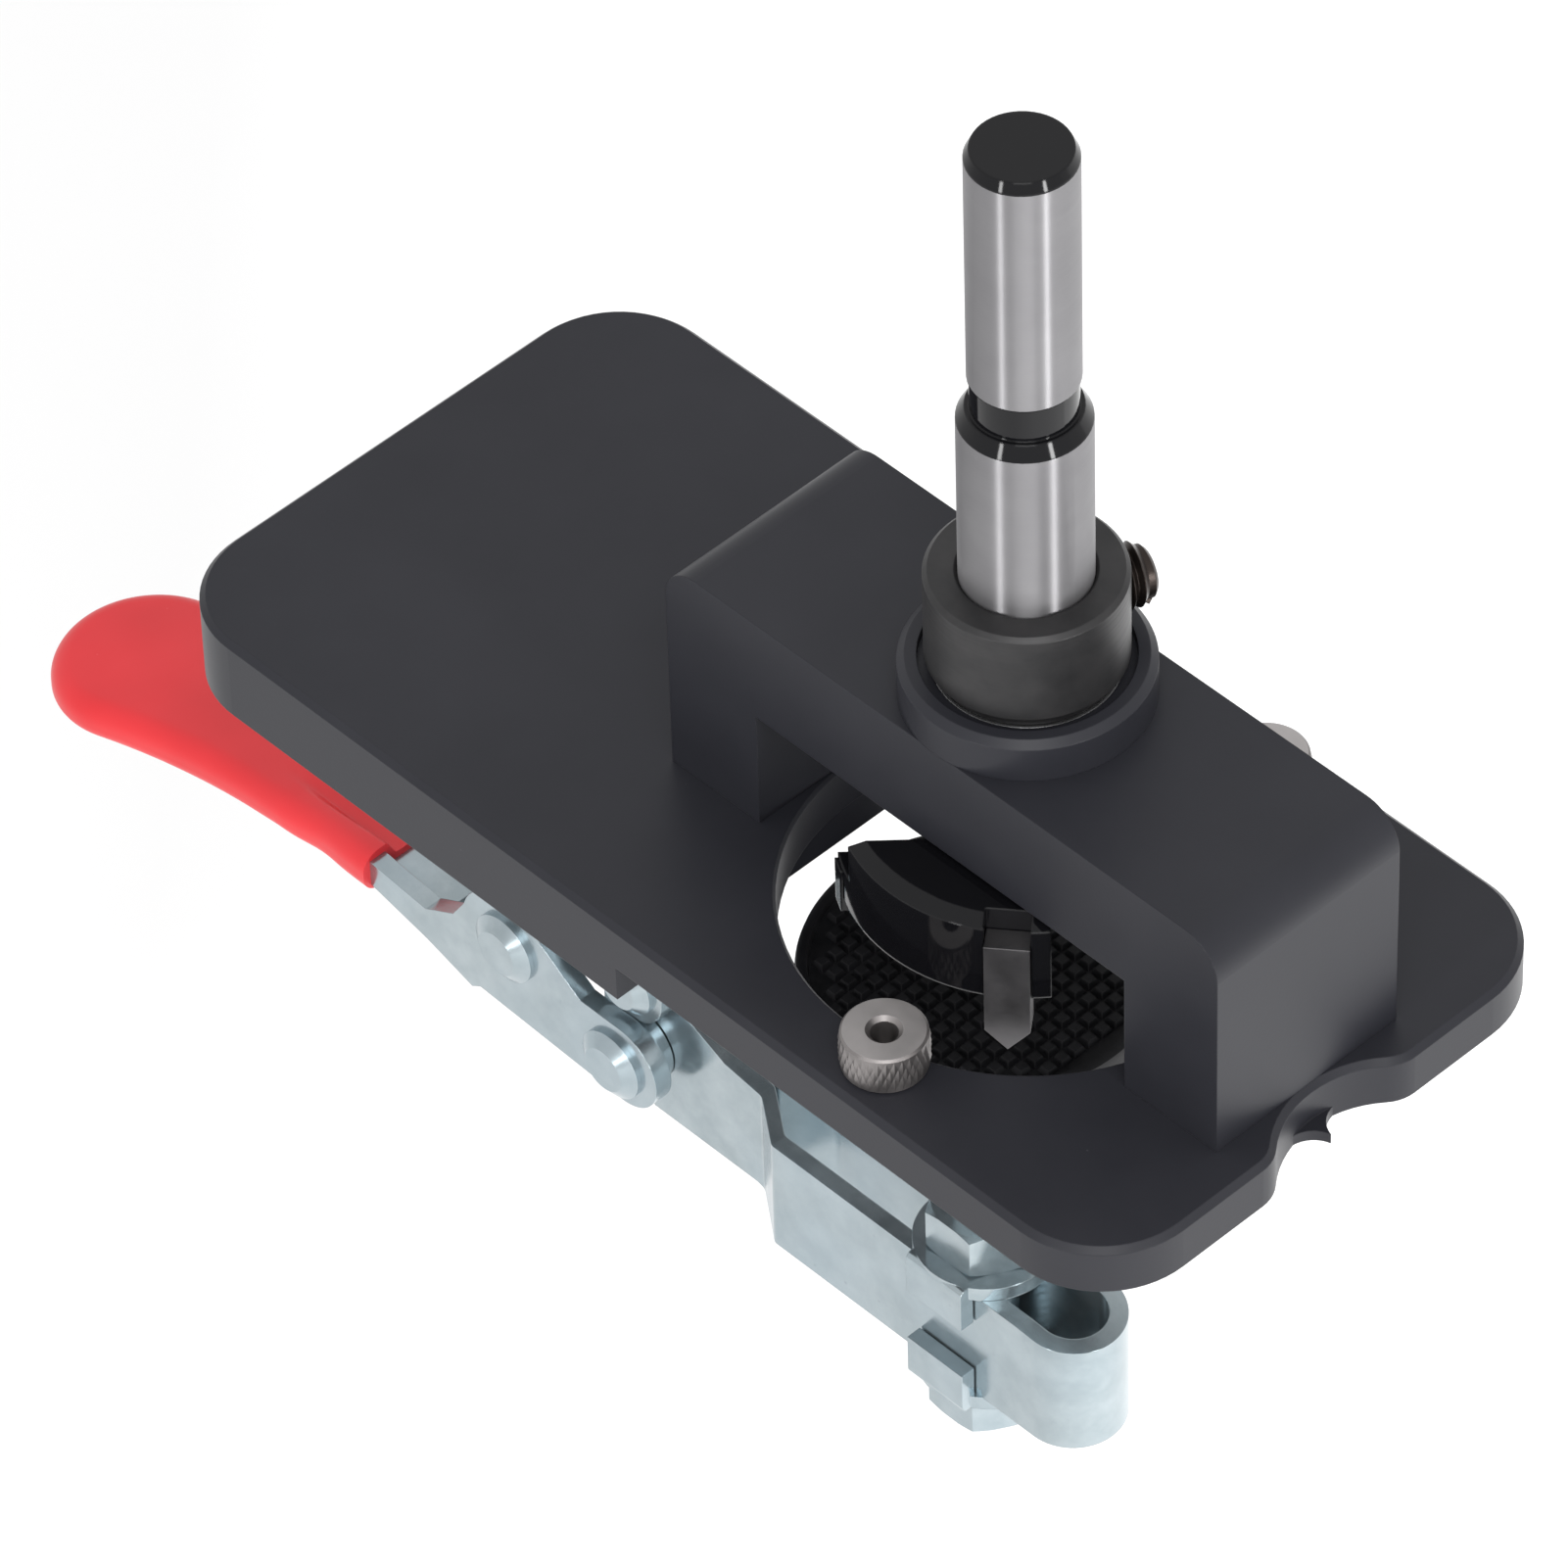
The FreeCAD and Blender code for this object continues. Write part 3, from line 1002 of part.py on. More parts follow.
def make_spindle_and_pad():
    spindle = piece("spindle")
    radius = "spindle_dia/2"
    shoulder = "pad_top-pad_thick-disc_thick"
    turned(spindle, [("0", "spindle_low"), (radius + "-spindle_bevel", "spindle_low"), (radius, "spindle_low+spindle_bevel"),
                     (radius, shoulder), ("0", shoulder)])
    place(spindle, "spindle_x")
    disc = piece("pad_disc")
    turned(disc, [("0", shoulder), (radius + "+seat_gap", shoulder),
                  (radius + "+seat_gap", shoulder + "-socket_high"),
                  ("socket_dia/2", shoulder + "-socket_high"), ("socket_dia/2", shoulder),
                  ("disc_dia/2", shoulder), ("disc_dia/2", "pad_top-pad_thick"), ("0", "pad_top-pad_thick")])
    place(disc, "spindle_x")
    pad = piece("rubber_pad")
    turned(pad, [("0", "pad_top-pad_thick"), ("pad_dia/2", "pad_top-pad_thick"),
                 ("pad_dia/2", "pad_top-pad_bevel"), ("pad_dia/2-pad_bevel", "pad_top"), ("0", "pad_top")])
    place(pad, "spindle_x")
    make_saddle("saddle_upper", "arm_top", None)
    make_saddle("saddle_lower", "arm_low", "180")
    make_nut("nut_upper", "arm_top+saddle_sheet")
    make_nut("nut_lower", "arm_low-saddle_sheet-nut_thick")


def write_parts():
    """Checks every object, then writes each piece to its own file."""
    doc.recompute()
    failed = [thing.Name for thing in doc.Objects if "Invalid" in thing.State or "Error" in thing.State]
    for label, thing in PARTS.items():
        if thing.Shape.isNull() or not thing.Shape.isValid():
            failed.append(label)
    if failed:
        raise RuntimeError("these did not build: " + ", ".join(failed))
    os.makedirs("parts", exist_ok=True)
    for label, thing in PARTS.items():
        thing.Label = label
        thing.Shape.exportStep("parts/%s.step" % label)
        print("%-20s %d solid(s) %9.1f mm3" % (label, len(thing.Shape.Solids), thing.Shape.Volume))


make_base_plate()
make_bridge()
make_bridge_screws()
make_guide_bush()
make_bearings()
make_guide_sleeve()
make_boring_bit()
make_main_cutters()
make_scoring_spurs()
make_stop_collar()
make_pilot_bushes()
make_clamp_base()
make_clamp_arm()
make_grip(make_lever())
make_toggle_link()
make_rivet("arm_rivet", "arm_pin_x", "arm_pin_z", EAR_OUT, "small_head")
make_rivet("base_rivet", "base_pin_x", "base_pin_z", EAR_OUT, "small_head")
make_rivet("lever_rivet", "lever_pin_x", "lever_pin_z", CHEEK_OUT, "rivet_head")
make_rivet("link_rivet", "link_pin_x", "link_pin_z", CHEEK_OUT, "rivet_head")
make_rings("lever_spacers", "lever_pin_x", "lever_pin_z")
make_rings("link_spacers", "link_pin_x", "link_pin_z")
make_spindle_and_pad()
write_parts()
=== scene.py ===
# %% [markdown]
# # Hinge drilling jig
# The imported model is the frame: every piece is already in its place and on its body. This scene gives
# each one its finish, cuts the threads and the knurls that the solids leave plain, moulds the soft
# grip, and sets up the camera and the light.

import math

import bmesh
import bpy
from mathutils import Matrix, Vector


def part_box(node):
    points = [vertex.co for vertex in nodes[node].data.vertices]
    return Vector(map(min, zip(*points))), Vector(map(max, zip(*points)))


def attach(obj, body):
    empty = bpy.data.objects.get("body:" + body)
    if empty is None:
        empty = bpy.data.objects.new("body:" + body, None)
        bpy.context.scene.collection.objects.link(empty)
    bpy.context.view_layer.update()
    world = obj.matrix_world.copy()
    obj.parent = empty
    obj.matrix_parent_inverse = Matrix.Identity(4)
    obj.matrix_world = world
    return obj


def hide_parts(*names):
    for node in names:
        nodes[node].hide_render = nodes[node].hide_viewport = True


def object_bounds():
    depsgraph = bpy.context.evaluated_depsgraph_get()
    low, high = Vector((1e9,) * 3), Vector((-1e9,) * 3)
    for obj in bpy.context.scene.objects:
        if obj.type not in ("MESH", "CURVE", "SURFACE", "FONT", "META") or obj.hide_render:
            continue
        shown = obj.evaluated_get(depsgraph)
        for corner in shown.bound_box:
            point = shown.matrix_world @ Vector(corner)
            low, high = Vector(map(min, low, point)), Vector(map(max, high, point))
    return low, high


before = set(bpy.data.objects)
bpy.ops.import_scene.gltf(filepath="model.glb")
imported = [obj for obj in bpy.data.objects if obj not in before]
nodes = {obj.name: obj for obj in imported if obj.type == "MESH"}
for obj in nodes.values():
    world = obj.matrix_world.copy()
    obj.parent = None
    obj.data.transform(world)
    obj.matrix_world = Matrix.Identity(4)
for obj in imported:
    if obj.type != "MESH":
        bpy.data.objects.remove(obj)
cad_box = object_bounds()
scene = bpy.context.scene
MM = 0.001

# %% [markdown]
# ## The view
# The camera stands where the photograph was taken: high, to the right of the clamp end, a metre away
# with a long lens, and rolled a little.

# %% Camera
PHOTO_PIXELS = 1601
FOCAL_PIXELS = 11754.2
SENSOR_WIDTH = 36.0
CLIP_END = 10.0
AZIMUTH = math.radians(47.237)
ELEVATION = math.radians(45.334)
ROLL = math.radians(-1.879)
OFFSET_RIGHT = 22.048 * MM
OFFSET_DOWN = 12.916 * MM
DISTANCE = 1029.59 * MM


def add_camera():
    """Builds the camera from its direction, its roll and its distance from the drill axis."""
    right = Vector((math.cos(AZIMUTH), math.sin(AZIMUTH), 0.0))
    back = Vector((math.sin(AZIMUTH) * math.cos(ELEVATION), -math.cos(AZIMUTH) * math.cos(ELEVATION),
                   math.sin(ELEVATION)))
    down = -back.cross(right)
    rolled_right = right * math.cos(ROLL) - down * math.sin(ROLL)
    rolled_down = right * math.sin(ROLL) + down * math.cos(ROLL)
    place = back * DISTANCE - rolled_right * OFFSET_RIGHT - rolled_down * OFFSET_DOWN
    data = bpy.data.cameras.new("camera")
    data.sensor_width = SENSOR_WIDTH
    data.lens = SENSOR_WIDTH * FOCAL_PIXELS / PHOTO_PIXELS
    data.clip_end = CLIP_END
    camera = bpy.data.objects.new("camera", data)
    turn = Matrix((rolled_right, -rolled_down, back)).transposed()
    camera.matrix_world = Matrix.Translation(place) @ turn.to_4x4()
    scene.collection.objects.link(camera)
    scene.camera = camera
    return camera


camera = add_camera()
print("camera at", [round(value, 3) for value in camera.matrix_world.translation])

# %% [markdown]
# ## Materials
# Each material is a small graph over object coordinates, which are the frame's own metres, so a mark
# of one millimetre is one millimetre on every piece.

# %% Node helpers


class Graph:
    """Shorthand for a material's nodes."""

    def __init__(self, name):
        self.material = bpy.data.materials.new(name)
        self.material.use_nodes = True
        self.tree = self.material.node_tree
        self.shader = self.tree.nodes["Principled BSDF"]
        self.place = self.add("ShaderNodeTexCoord").outputs["Object"]

    def add(self, kind, **settings):
        node = self.tree.nodes.new(kind)
        for key, value in settings.items():
            setattr(node, key, value)
        return node

    def feed(self, socket, value):
        """Links a socket, or sets it to a plain value."""
        if isinstance(value, bpy.types.NodeSocket):
            self.tree.links.new(value, socket)
        else:
            socket.default_value = value

    def set(self, **values):
        for key, value in values.items():
            self.feed(self.shader.inputs[key.replace("_", " ")], value)

    def math(self, operation, first, second=0.0):
        node = self.add("ShaderNodeMath", operation=operation)
        self.feed(node.inputs[0], first)
        self.feed(node.inputs[1], second)
        return node.outputs[0]

    def noise(self, scale, detail=3.0, rough=0.55, stretch=(1.0, 1.0, 1.0)):
        """Noise whose grain is about one over scale metres."""
        mapping = self.add("ShaderNodeMapping")
        mapping.inputs["Scale"].default_value = stretch
        self.feed(mapping.inputs["Vector"], self.place)
        node = self.add("ShaderNodeTexNoise")
        self.feed(node.inputs["Vector"], mapping.outputs[0])
        node.inputs["Scale"].default_value = scale
        node.inputs["Detail"].default_value = detail
        node.inputs["Roughness"].default_value = rough
        return node.outputs["Fac"]

    def spread(self, value, low, high, start=0.3, end=0.7):
        """Maps a value between start and end to the range low to high."""
        node = self.add("ShaderNodeMapRange")
        self.feed(node.inputs["Value"], value)
        node.inputs["From Min"].default_value = start
        node.inputs["From Max"].default_value = end
        node.inputs["To Min"].default_value = low
        node.inputs["To Max"].default_value = high
        return node.outputs["Result"]

    def colours(self, value, first, second):
        """Mixes two colours by a value."""
        node = self.add("ShaderNodeMix", data_type="RGBA")
        self.feed(node.inputs["Factor"], value)
        for label, colour in (("A", first), ("B", second)):
            linked = isinstance(colour, bpy.types.NodeSocket)
            self.feed(node.inputs[label], colour if linked else (*colour, 1.0))
        return node.outputs["Result"]

    def numbers(self, value, first, second):
        """Mixes two numbers by a value."""
        node = self.add("ShaderNodeMix", data_type="FLOAT")
        self.feed(node.inputs["Factor"], value)
        self.feed(node.inputs["A"], first)
        self.feed(node.inputs["B"], second)
        return node.outputs["Result"]

    def bump(self, height, depth, strength=1.0, normal=None):
        node = self.add("ShaderNodeBump")
        if normal is not None:
            self.feed(node.inputs["Normal"], normal)
        node.inputs["Strength"].default_value = strength
        node.inputs["Distance"].default_value = depth
        self.feed(node.inputs["Height"], height)
        self.feed(self.shader.inputs["Normal"], node.outputs[0])

    def axis(self, name):
        node = self.add("ShaderNodeSeparateXYZ")
        self.feed(node.inputs[0], self.place)
        return node.outputs[name]

    def facing(self, name):
        """The face's own direction along one axis."""
        node = self.add("ShaderNodeSeparateXYZ")
        self.feed(node.inputs[0], self.add("ShaderNodeNewGeometry").outputs["True Normal"])
        return node.outputs[name]

    def between(self, value, low, high):
        """One where the value lies between two limits, else nought."""
        above, below = self.math("GREATER_THAN", value, low), self.math("LESS_THAN", value, high)
        return self.math("MULTIPLY", above, below)


# %% [markdown]
# ## The finishes
# Anodised aluminium is satin and very even. Black oxide is darker and turned, so its marks run round the
# axis. The boring bit's head is dipped in gloss lacquer while its shanks are ground bright. The pilot
# bushes are plain steel with painted shade on their upright faces and painted light on their level ends.
# The clamp is pressed from sheet and zinc plated, which leaves a cool, slightly cloudy shine. An image of
# each surface would need its own unwrapping, so every finish is a few layers of noise instead. The Bevel
# node rounds the shading of sharp edges, so that they catch the light as real broken edges do.

# %% Black finishes
EDGE_BREAK = 0.16 * MM
FINE_BREAK = 0.05 * MM


def broken_edges(graph, radius=EDGE_BREAK):
    """Normals that turn softly over the sharp edges."""
    node = graph.add("ShaderNodeBevel", samples=6)
    node.inputs["Radius"].default_value = radius
    return node.outputs[0]


def satin_black(name):
    """Blasted and anodised: a fine even grain, a soft sheen, and a few pale specks of dust."""
    graph = Graph(name)
    deep, pale, dust = (0.0190, 0.0194, 0.0245), (0.0230, 0.0234, 0.0290), (0.16, 0.16, 0.17)
    cloud = graph.noise(scale=70.0, detail=3.0)
    grain = graph.noise(scale=3600.0, detail=2.0)
    specks = graph.spread(graph.noise(scale=900.0, detail=1.0), 0.0, 1.0, start=0.83, end=0.87)
    tone = graph.colours(graph.spread(cloud, 0.0, 1.0), deep, pale)
    graph.set(Base_Color=graph.colours(graph.math("MULTIPLY", specks, 0.5), tone, dust),
              Metallic=0.0, Roughness=graph.spread(cloud, 0.36, 0.42))
    graph.shader.inputs["Specular IOR Level"].default_value = 0.24
    graph.bump(grain, depth=0.02 * MM, strength=0.30, normal=broken_edges(graph))
    return graph.material


def turned_black(name):
    """Black oxide on turned steel: fine rings and soft grey highlights."""
    graph = Graph(name)
    dark, worn = (0.019, 0.019, 0.020), (0.034, 0.033, 0.034)
    rings = graph.noise(scale=700.0, detail=2.0, stretch=(0.02, 0.02, 5.0))
    cloud = graph.noise(scale=260.0, detail=4.0)
    tone = graph.colours(graph.spread(cloud, 0.0, 1.0), dark, worn)
    graph.set(Base_Color=tone, Metallic=0.4, Roughness=graph.spread(rings, 0.38, 0.48))
    graph.bump(rings, depth=0.01 * MM, strength=0.3, normal=broken_edges(graph))
    return graph.material


# %% Ground and lacquered bit
LOWER_SHANK = (18.2 * MM, 63.25 * MM)
UPPER_SHANK = (68.4 * MM, 93.1 * MM)
SHANK_BREAK = 0.3 * MM


def bit_steel(name):
    """The boring bit: ground shanks between blackened bevels and neck, and a glossy lacquered head."""
    graph = Graph(name)
    black, dull, bright = (0.0045, 0.0045, 0.0055), (0.29, 0.285, 0.295), (0.33, 0.325, 0.335)
    up = graph.axis("Z")
    ground = graph.math("ADD", graph.between(up, *LOWER_SHANK), graph.between(up, *UPPER_SHANK))
    rings = graph.noise(scale=1400.0, detail=2.0, stretch=(0.03, 0.03, 5.0))
    cloud = graph.noise(scale=120.0, detail=3.0)
    steel = graph.colours(graph.spread(cloud, 0.0, 1.0), dull, bright)
    lacquer_gloss = graph.spread(cloud, 0.05, 0.09)
    ground_gloss = graph.spread(rings, 0.37, 0.42)
    graph.set(Base_Color=graph.colours(ground, black, steel), Metallic=ground,
              Roughness=graph.numbers(ground, lacquer_gloss, ground_gloss), Anisotropic=ground)
    # The grinding marks run round the shank, so a lamp's reflection stretches along it.
    graph.shader.inputs["Anisotropic Rotation"].default_value = 0.25
    graph.shader.inputs["Specular IOR Level"].default_value = 0.26
    tangent = graph.add("ShaderNodeTangent", direction_type="RADIAL", axis="Z")
    graph.feed(graph.shader.inputs["Tangent"], tangent.outputs[0])
    graph.bump(rings, depth=0.01 * MM, strength=0.08, normal=broken_edges(graph, SHANK_BREAK))
    return graph.material


# %% Plain steel


def bright_metal(name, tone, roughness):
    """Plain steel with a drifting tone and fine marks."""
    graph = Graph(name)
    dark = tuple(value * 0.75 for value in tone)
    cloud = graph.noise(scale=260.0, detail=4.0)
    marks = graph.noise(scale=2500.0, detail=2.0)
    graph.set(Base_Color=graph.colours(graph.spread(cloud, 0.0, 1.0), dark, tone), Metallic=0.9,
              Roughness=graph.spread(cloud, roughness - 0.05, roughness + 0.08))
    relief = graph.math("ADD", graph.math("MULTIPLY", cloud, 2.0), marks)
    graph.bump(relief, depth=0.02 * MM, strength=0.25, normal=broken_edges(graph))
    return graph.material


def knurled_steel(name):
    """Plain steel with painted shade on its upright faces and painted light on its level ends."""
    graph = Graph(name)
    shaded_flank_dark, shaded_flank_pale = (0.19, 0.178, 0.175), (0.28, 0.262, 0.258)
    lit_end_dark, lit_end_pale = (0.42, 0.40, 0.395), (0.50, 0.475, 0.47)
    cloud = graph.noise(scale=300.0, detail=4.0)
    share = graph.spread(cloud, 0.0, 1.0)
    # Painted shade and light: upright faces, knurled or plain, take the darker steel, level faces the
    # lighter.
    level = graph.spread(graph.math("ABSOLUTE", graph.facing("Z")), 0.0, 1.0, start=0.75, end=0.95)
    flank = graph.colours(share, shaded_flank_dark, shaded_flank_pale)
    end = graph.colours(share, lit_end_dark, lit_end_pale)
    graph.set(Base_Color=graph.colours(level, flank, end), Metallic=0.9,
              Roughness=graph.spread(cloud, 0.36, 0.48))
    graph.bump(cloud, depth=0.03 * MM, strength=0.25, normal=broken_edges(graph, FINE_BREAK))
    return graph.material


# %% Zinc plate
SHEET_BREAK = 0.14 * MM


def blue_zinc(name, edge=SHEET_BREAK):
    """Bright zinc plate: cool grey, a little cloudy, with faint rolling lines of the sheet."""
    graph = Graph(name)
    grey, pale = (0.345, 0.405, 0.43), (0.435, 0.495, 0.52)
    blue, pit = (0.37, 0.46, 0.52), (0.16, 0.18, 0.20)
    cloud = graph.noise(scale=240.0, detail=5.0, rough=0.62)
    drift = graph.noise(scale=60.0, detail=2.0)
    lines = graph.noise(scale=1300.0, detail=2.0, stretch=(0.12, 1.0, 2.5))
    pits = graph.spread(graph.noise(scale=1100.0, detail=1.0), 0.0, 1.0, start=0.78, end=0.84)
    base = graph.colours(graph.spread(cloud, 0.0, 1.0, start=0.35, end=0.68), grey, pale)
    tinted = graph.colours(graph.spread(drift, 0.0, 0.35, start=0.42, end=0.70), base, blue)
    graph.set(Base_Color=graph.colours(graph.math("MULTIPLY", pits, 0.35), tinted, pit),
              Metallic=0.86, Roughness=graph.spread(cloud, 0.16, 0.24))
    relief = graph.math("ADD", cloud, graph.math("MULTIPLY", lines, 0.4))
    graph.bump(relief, depth=0.03 * MM, strength=0.25, normal=broken_edges(graph, edge))
    return graph.material


# %% Soft finishes


def dipped_vinyl(name):
    """Dipped vinyl: saturated red with a satin skin and a slow ripple."""
    graph = Graph(name)
    deep, bright, dust = (0.63, 0.016, 0.022), (0.73, 0.023, 0.031), (0.85, 0.45, 0.42)
    cloud = graph.noise(scale=60.0, detail=2.0)
    ripple = graph.noise(scale=260.0, detail=2.0)
    specks = graph.spread(graph.noise(scale=1000.0, detail=1.0), 0.0, 1.0, start=0.84, end=0.88)
    tone = graph.colours(graph.spread(cloud, 0.0, 1.0), deep, bright)
    graph.set(Base_Color=graph.colours(graph.math("MULTIPLY", specks, 0.5), tone, dust),
              Roughness=graph.spread(ripple, 0.34, 0.44))
    graph.shader.inputs["Subsurface Weight"].default_value = 0.10
    graph.shader.inputs["Subsurface Radius"].default_value = (3.0 * MM, 0.8 * MM, 0.6 * MM)
    graph.shader.inputs["Subsurface Scale"].default_value = 0.5
    graph.bump(ripple, depth=0.08 * MM, strength=0.25)
    return graph.material


def moulded_rubber(name):
    """Black rubber with a matte, slightly dusty skin."""
    graph = Graph(name)
    deep, dusty = (0.005, 0.005, 0.006), (0.010, 0.010, 0.012)
    cloud = graph.noise(scale=400.0, detail=3.0)
    grain = graph.noise(scale=4000.0, detail=2.0)
    graph.set(Base_Color=graph.colours(graph.spread(cloud, 0.0, 1.0), deep, dusty),
              Roughness=graph.spread(cloud, 0.46, 0.60))
    graph.shader.inputs["Specular IOR Level"].default_value = 0.32
    graph.bump(grain, depth=0.03 * MM, strength=0.4)
    return graph.material


# %% Each piece's finish
ANODISED = satin_black("anodised")
OXIDE = turned_black("black_oxide")
BIT = bit_steel("bit")
CARBIDE = bright_metal("carbide", tone=(0.145, 0.14, 0.145), roughness=0.34)
BUSH = knurled_steel("bush_steel")
BEARING = bright_metal("bearing_steel", tone=(0.40, 0.40, 0.41), roughness=0.24)
ZINC = blue_zinc("blue_zinc")
SMALL_ZINC = blue_zinc("small_zinc", FINE_BREAK)
VINYL = dipped_vinyl("red_vinyl")
RUBBER = moulded_rubber("rubber")
SCREW_BLACK = bright_metal("screw_black", tone=(0.045, 0.036, 0.032), roughness=0.30)

FINISH = {
    "base_plate": ANODISED, "bridge": ANODISED, "guide_bush": ANODISED, "stop_collar": OXIDE,
    "collar_set_screw": OXIDE, "bridge_screws": OXIDE, "boring_bit": BIT, "main_cutters": BIT,
    "scoring_spurs": CARBIDE, "pilot_bush_near": BUSH, "pilot_bush_far": BUSH, "bearing_lower": BEARING,
    "bearing_upper": BEARING, "guide_sleeve": OXIDE, "rubber_pad": RUBBER, "handle_grip": VINYL,
}


def dress(thing, material):
    thing.data.materials.clear()
    thing.data.materials.append(material)


SMALL = ("rivet", "spacers", "nut")
for name, thing in nodes.items():
    plated = SMALL_ZINC if any(word in name for word in SMALL) else ZINC
    dress(thing, FINISH.get(name, plated))
print("materials:", len(bpy.data.materials))

# %% [markdown]
# ## The dipped grip
# The lever's tang is dipped in vinyl: thick and soft over its edges, flat on its faces, and sunk into the
# lever's channel at the mouth. The skin is a grid over the grip's plan. Each point finds how far it is
# from the outline, and near the outline the two faces turn down into each other.

# %% Grip sizes
MOUTH = -84.2 * MM
BULB_CENTRE = -122.9 * MM
BULB_RADIUS = 9.8 * MM
NECK_HALF = 6.9 * MM
NECK_HOLLOW = 80.0 * MM
WAIST = -91.0 * MM
VALLEY_END = -97.0 * MM
WAIST_DEPTH = 0.4 * MM
WAIST_LENGTH = 3.0 * MM
EDGE_TURN = 2.1 * MM
FACE_LEVEL = -50.1 * MM
MOUTH_RISE = 0.75 * MM
BULB_FALL = 3.8 * MM
HALF_THICK = 2.25 * MM
MOUTH_SWELL = 0.2 * MM
CROWN = 0.35 * MM
CROWN_START = -92.0 * MM
CROWN_FULL = -112.0 * MM
VALLEY_DEPTH = 2.0 * MM
VALLEY_FLOOR = 2.5 * MM
VALLEY_WALL = 3.9 * MM
VALLEY_SLOPE = 3.0 * MM
GRIP_ROWS = 84
GRIP_COLUMNS = 64
ROW_CROWDING = 0.35
SMALL_STEP = 0.1 * MM
MERGE = 0.002 * MM
print("grip length:", round((MOUTH - BULB_CENTRE + BULB_RADIUS) / MM, 1), "mm")

# %% Grip shape


def smooth(value, start, end):
    """Runs from nought at start to one at end, level at both."""
    share = min(max((value - start) / (end - start), 0.0), 1.0)
    return share * share * (3.0 - 2.0 * share)


def grip_half(along):
    """Half width of the grip at a place along it: neck, hollow flank, round end."""
    reach = math.sqrt((NECK_HOLLOW + BULB_RADIUS) ** 2 - (NECK_HALF + NECK_HOLLOW) ** 2)
    hollow = BULB_CENTRE + reach
    touch = BULB_CENTRE + reach * BULB_RADIUS / (BULB_RADIUS + NECK_HOLLOW)
    if along > hollow:
        return NECK_HALF - WAIST_DEPTH * math.exp(-((along - WAIST) / WAIST_LENGTH) ** 2)
    if along > touch:
        return NECK_HALF + NECK_HOLLOW - math.sqrt(NECK_HOLLOW ** 2 - (along - hollow) ** 2)
    return math.sqrt(max(BULB_RADIUS ** 2 - (along - BULB_CENTRE) ** 2, 0.0))


def grip_edge(along, across):
    """Distance from a point of the plan to the grip's outline."""
    if along < BULB_CENTRE:
        return BULB_RADIUS - math.hypot(along - BULB_CENTRE, across)
    slope = (grip_half(along - SMALL_STEP) - grip_half(along + SMALL_STEP)) / (2.0 * SMALL_STEP)
    return (grip_half(along) - abs(across)) / math.sqrt(1.0 + slope * slope)


def grip_faces(along, across):
    """Heights of the grip's upper and lower face."""
    near = smooth(along, VALLEY_END, MOUTH)
    fall = max((VALLEY_END - along) / (VALLEY_END - BULB_CENTRE + BULB_RADIUS), 0.0)
    middle = FACE_LEVEL + MOUTH_RISE * near - BULB_FALL * fall
    thick = HALF_THICK + MOUTH_SWELL * near
    crown = CROWN * (1.0 - (across / BULB_RADIUS) ** 2) * smooth(along, CROWN_START, CROWN_FULL)
    top, low = middle + thick + crown, middle - thick - crown / 2.0
    valley = smooth(along, VALLEY_END - VALLEY_SLOPE, MOUTH - VALLEY_SLOPE)
    top -= VALLEY_DEPTH * valley * (1.0 - smooth(abs(across), VALLEY_FLOOR, VALLEY_WALL))
    edge = min(max(grip_edge(along, across), 0.0), EDGE_TURN)
    sink = EDGE_TURN - math.sqrt(EDGE_TURN ** 2 - (EDGE_TURN - edge) ** 2)
    return top - sink, low + sink


# %% Grip mesh


def mould_grip():
    """Rows of points across the plan, closer together towards the round end, joined top and bottom."""
    mesh = bmesh.new()
    length = MOUTH - BULB_CENTRE + BULB_RADIUS
    rings = []
    for row in range(GRIP_ROWS + 1):
        share = row / GRIP_ROWS
        power = 1.0 + ROW_CROWDING * (1.0 - share)
        along = MOUTH - length * math.sin(share * math.pi / 2.0) ** power
        half = grip_half(along)
        places = [half * math.sin(math.pi * (column / GRIP_COLUMNS - 0.5))
                  for column in range(GRIP_COLUMNS + 1)]
        upper = [mesh.verts.new((along, across, grip_faces(along, across)[0])) for across in places]
        lower = [mesh.verts.new((along, across, grip_faces(along, across)[1])) for across in reversed(places)]
        rings.append(upper + lower)
    for first, second in zip(rings, rings[1:]):
        for step in range(len(first)):
            after = (step + 1) % len(first)
            mesh.faces.new((first[step], first[after], second[after], second[step]))
    count = GRIP_COLUMNS + 1
    for end in (rings[0], rings[-1]):
        for step in range(count - 1):
            mesh.faces.new((end[step], end[step + 1], end[2 * count - 2 - step], end[2 * count - 1 - step]))
    bmesh.ops.remove_doubles(mesh, verts=mesh.verts, dist=MERGE)
    bmesh.ops.recalc_face_normals(mesh, faces=mesh.faces)
    return mesh


def add_piece(name, mesh, material, crease):
    """A bmesh made into an object, smooth up to a crease."""
    data = bpy.data.meshes.new(name)
    mesh.to_mesh(data)
    mesh.free()
    data.materials.append(material)
    data.shade_smooth()
    data.set_sharp_from_angle(angle=math.radians(crease))
    thing = bpy.data.objects.new(name, data)
    scene.collection.objects.link(thing)
    return thing


grip = add_piece("dipped_grip", mould_grip(), VINYL, crease=50.0)
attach(grip, "lever")
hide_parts("handle_grip")
print("grip:", len(grip.data.polygons), "faces")

# %% [markdown]
# ## What repeats
# The knurl, the studs of the rubber pad and the threads each repeat one small shape by a rule, so
# Geometry Nodes place them. Each tree has named inputs, and ends in Realize Instances and Set Material.
# The result is taken as a plain mesh.

# %% Tree helpers


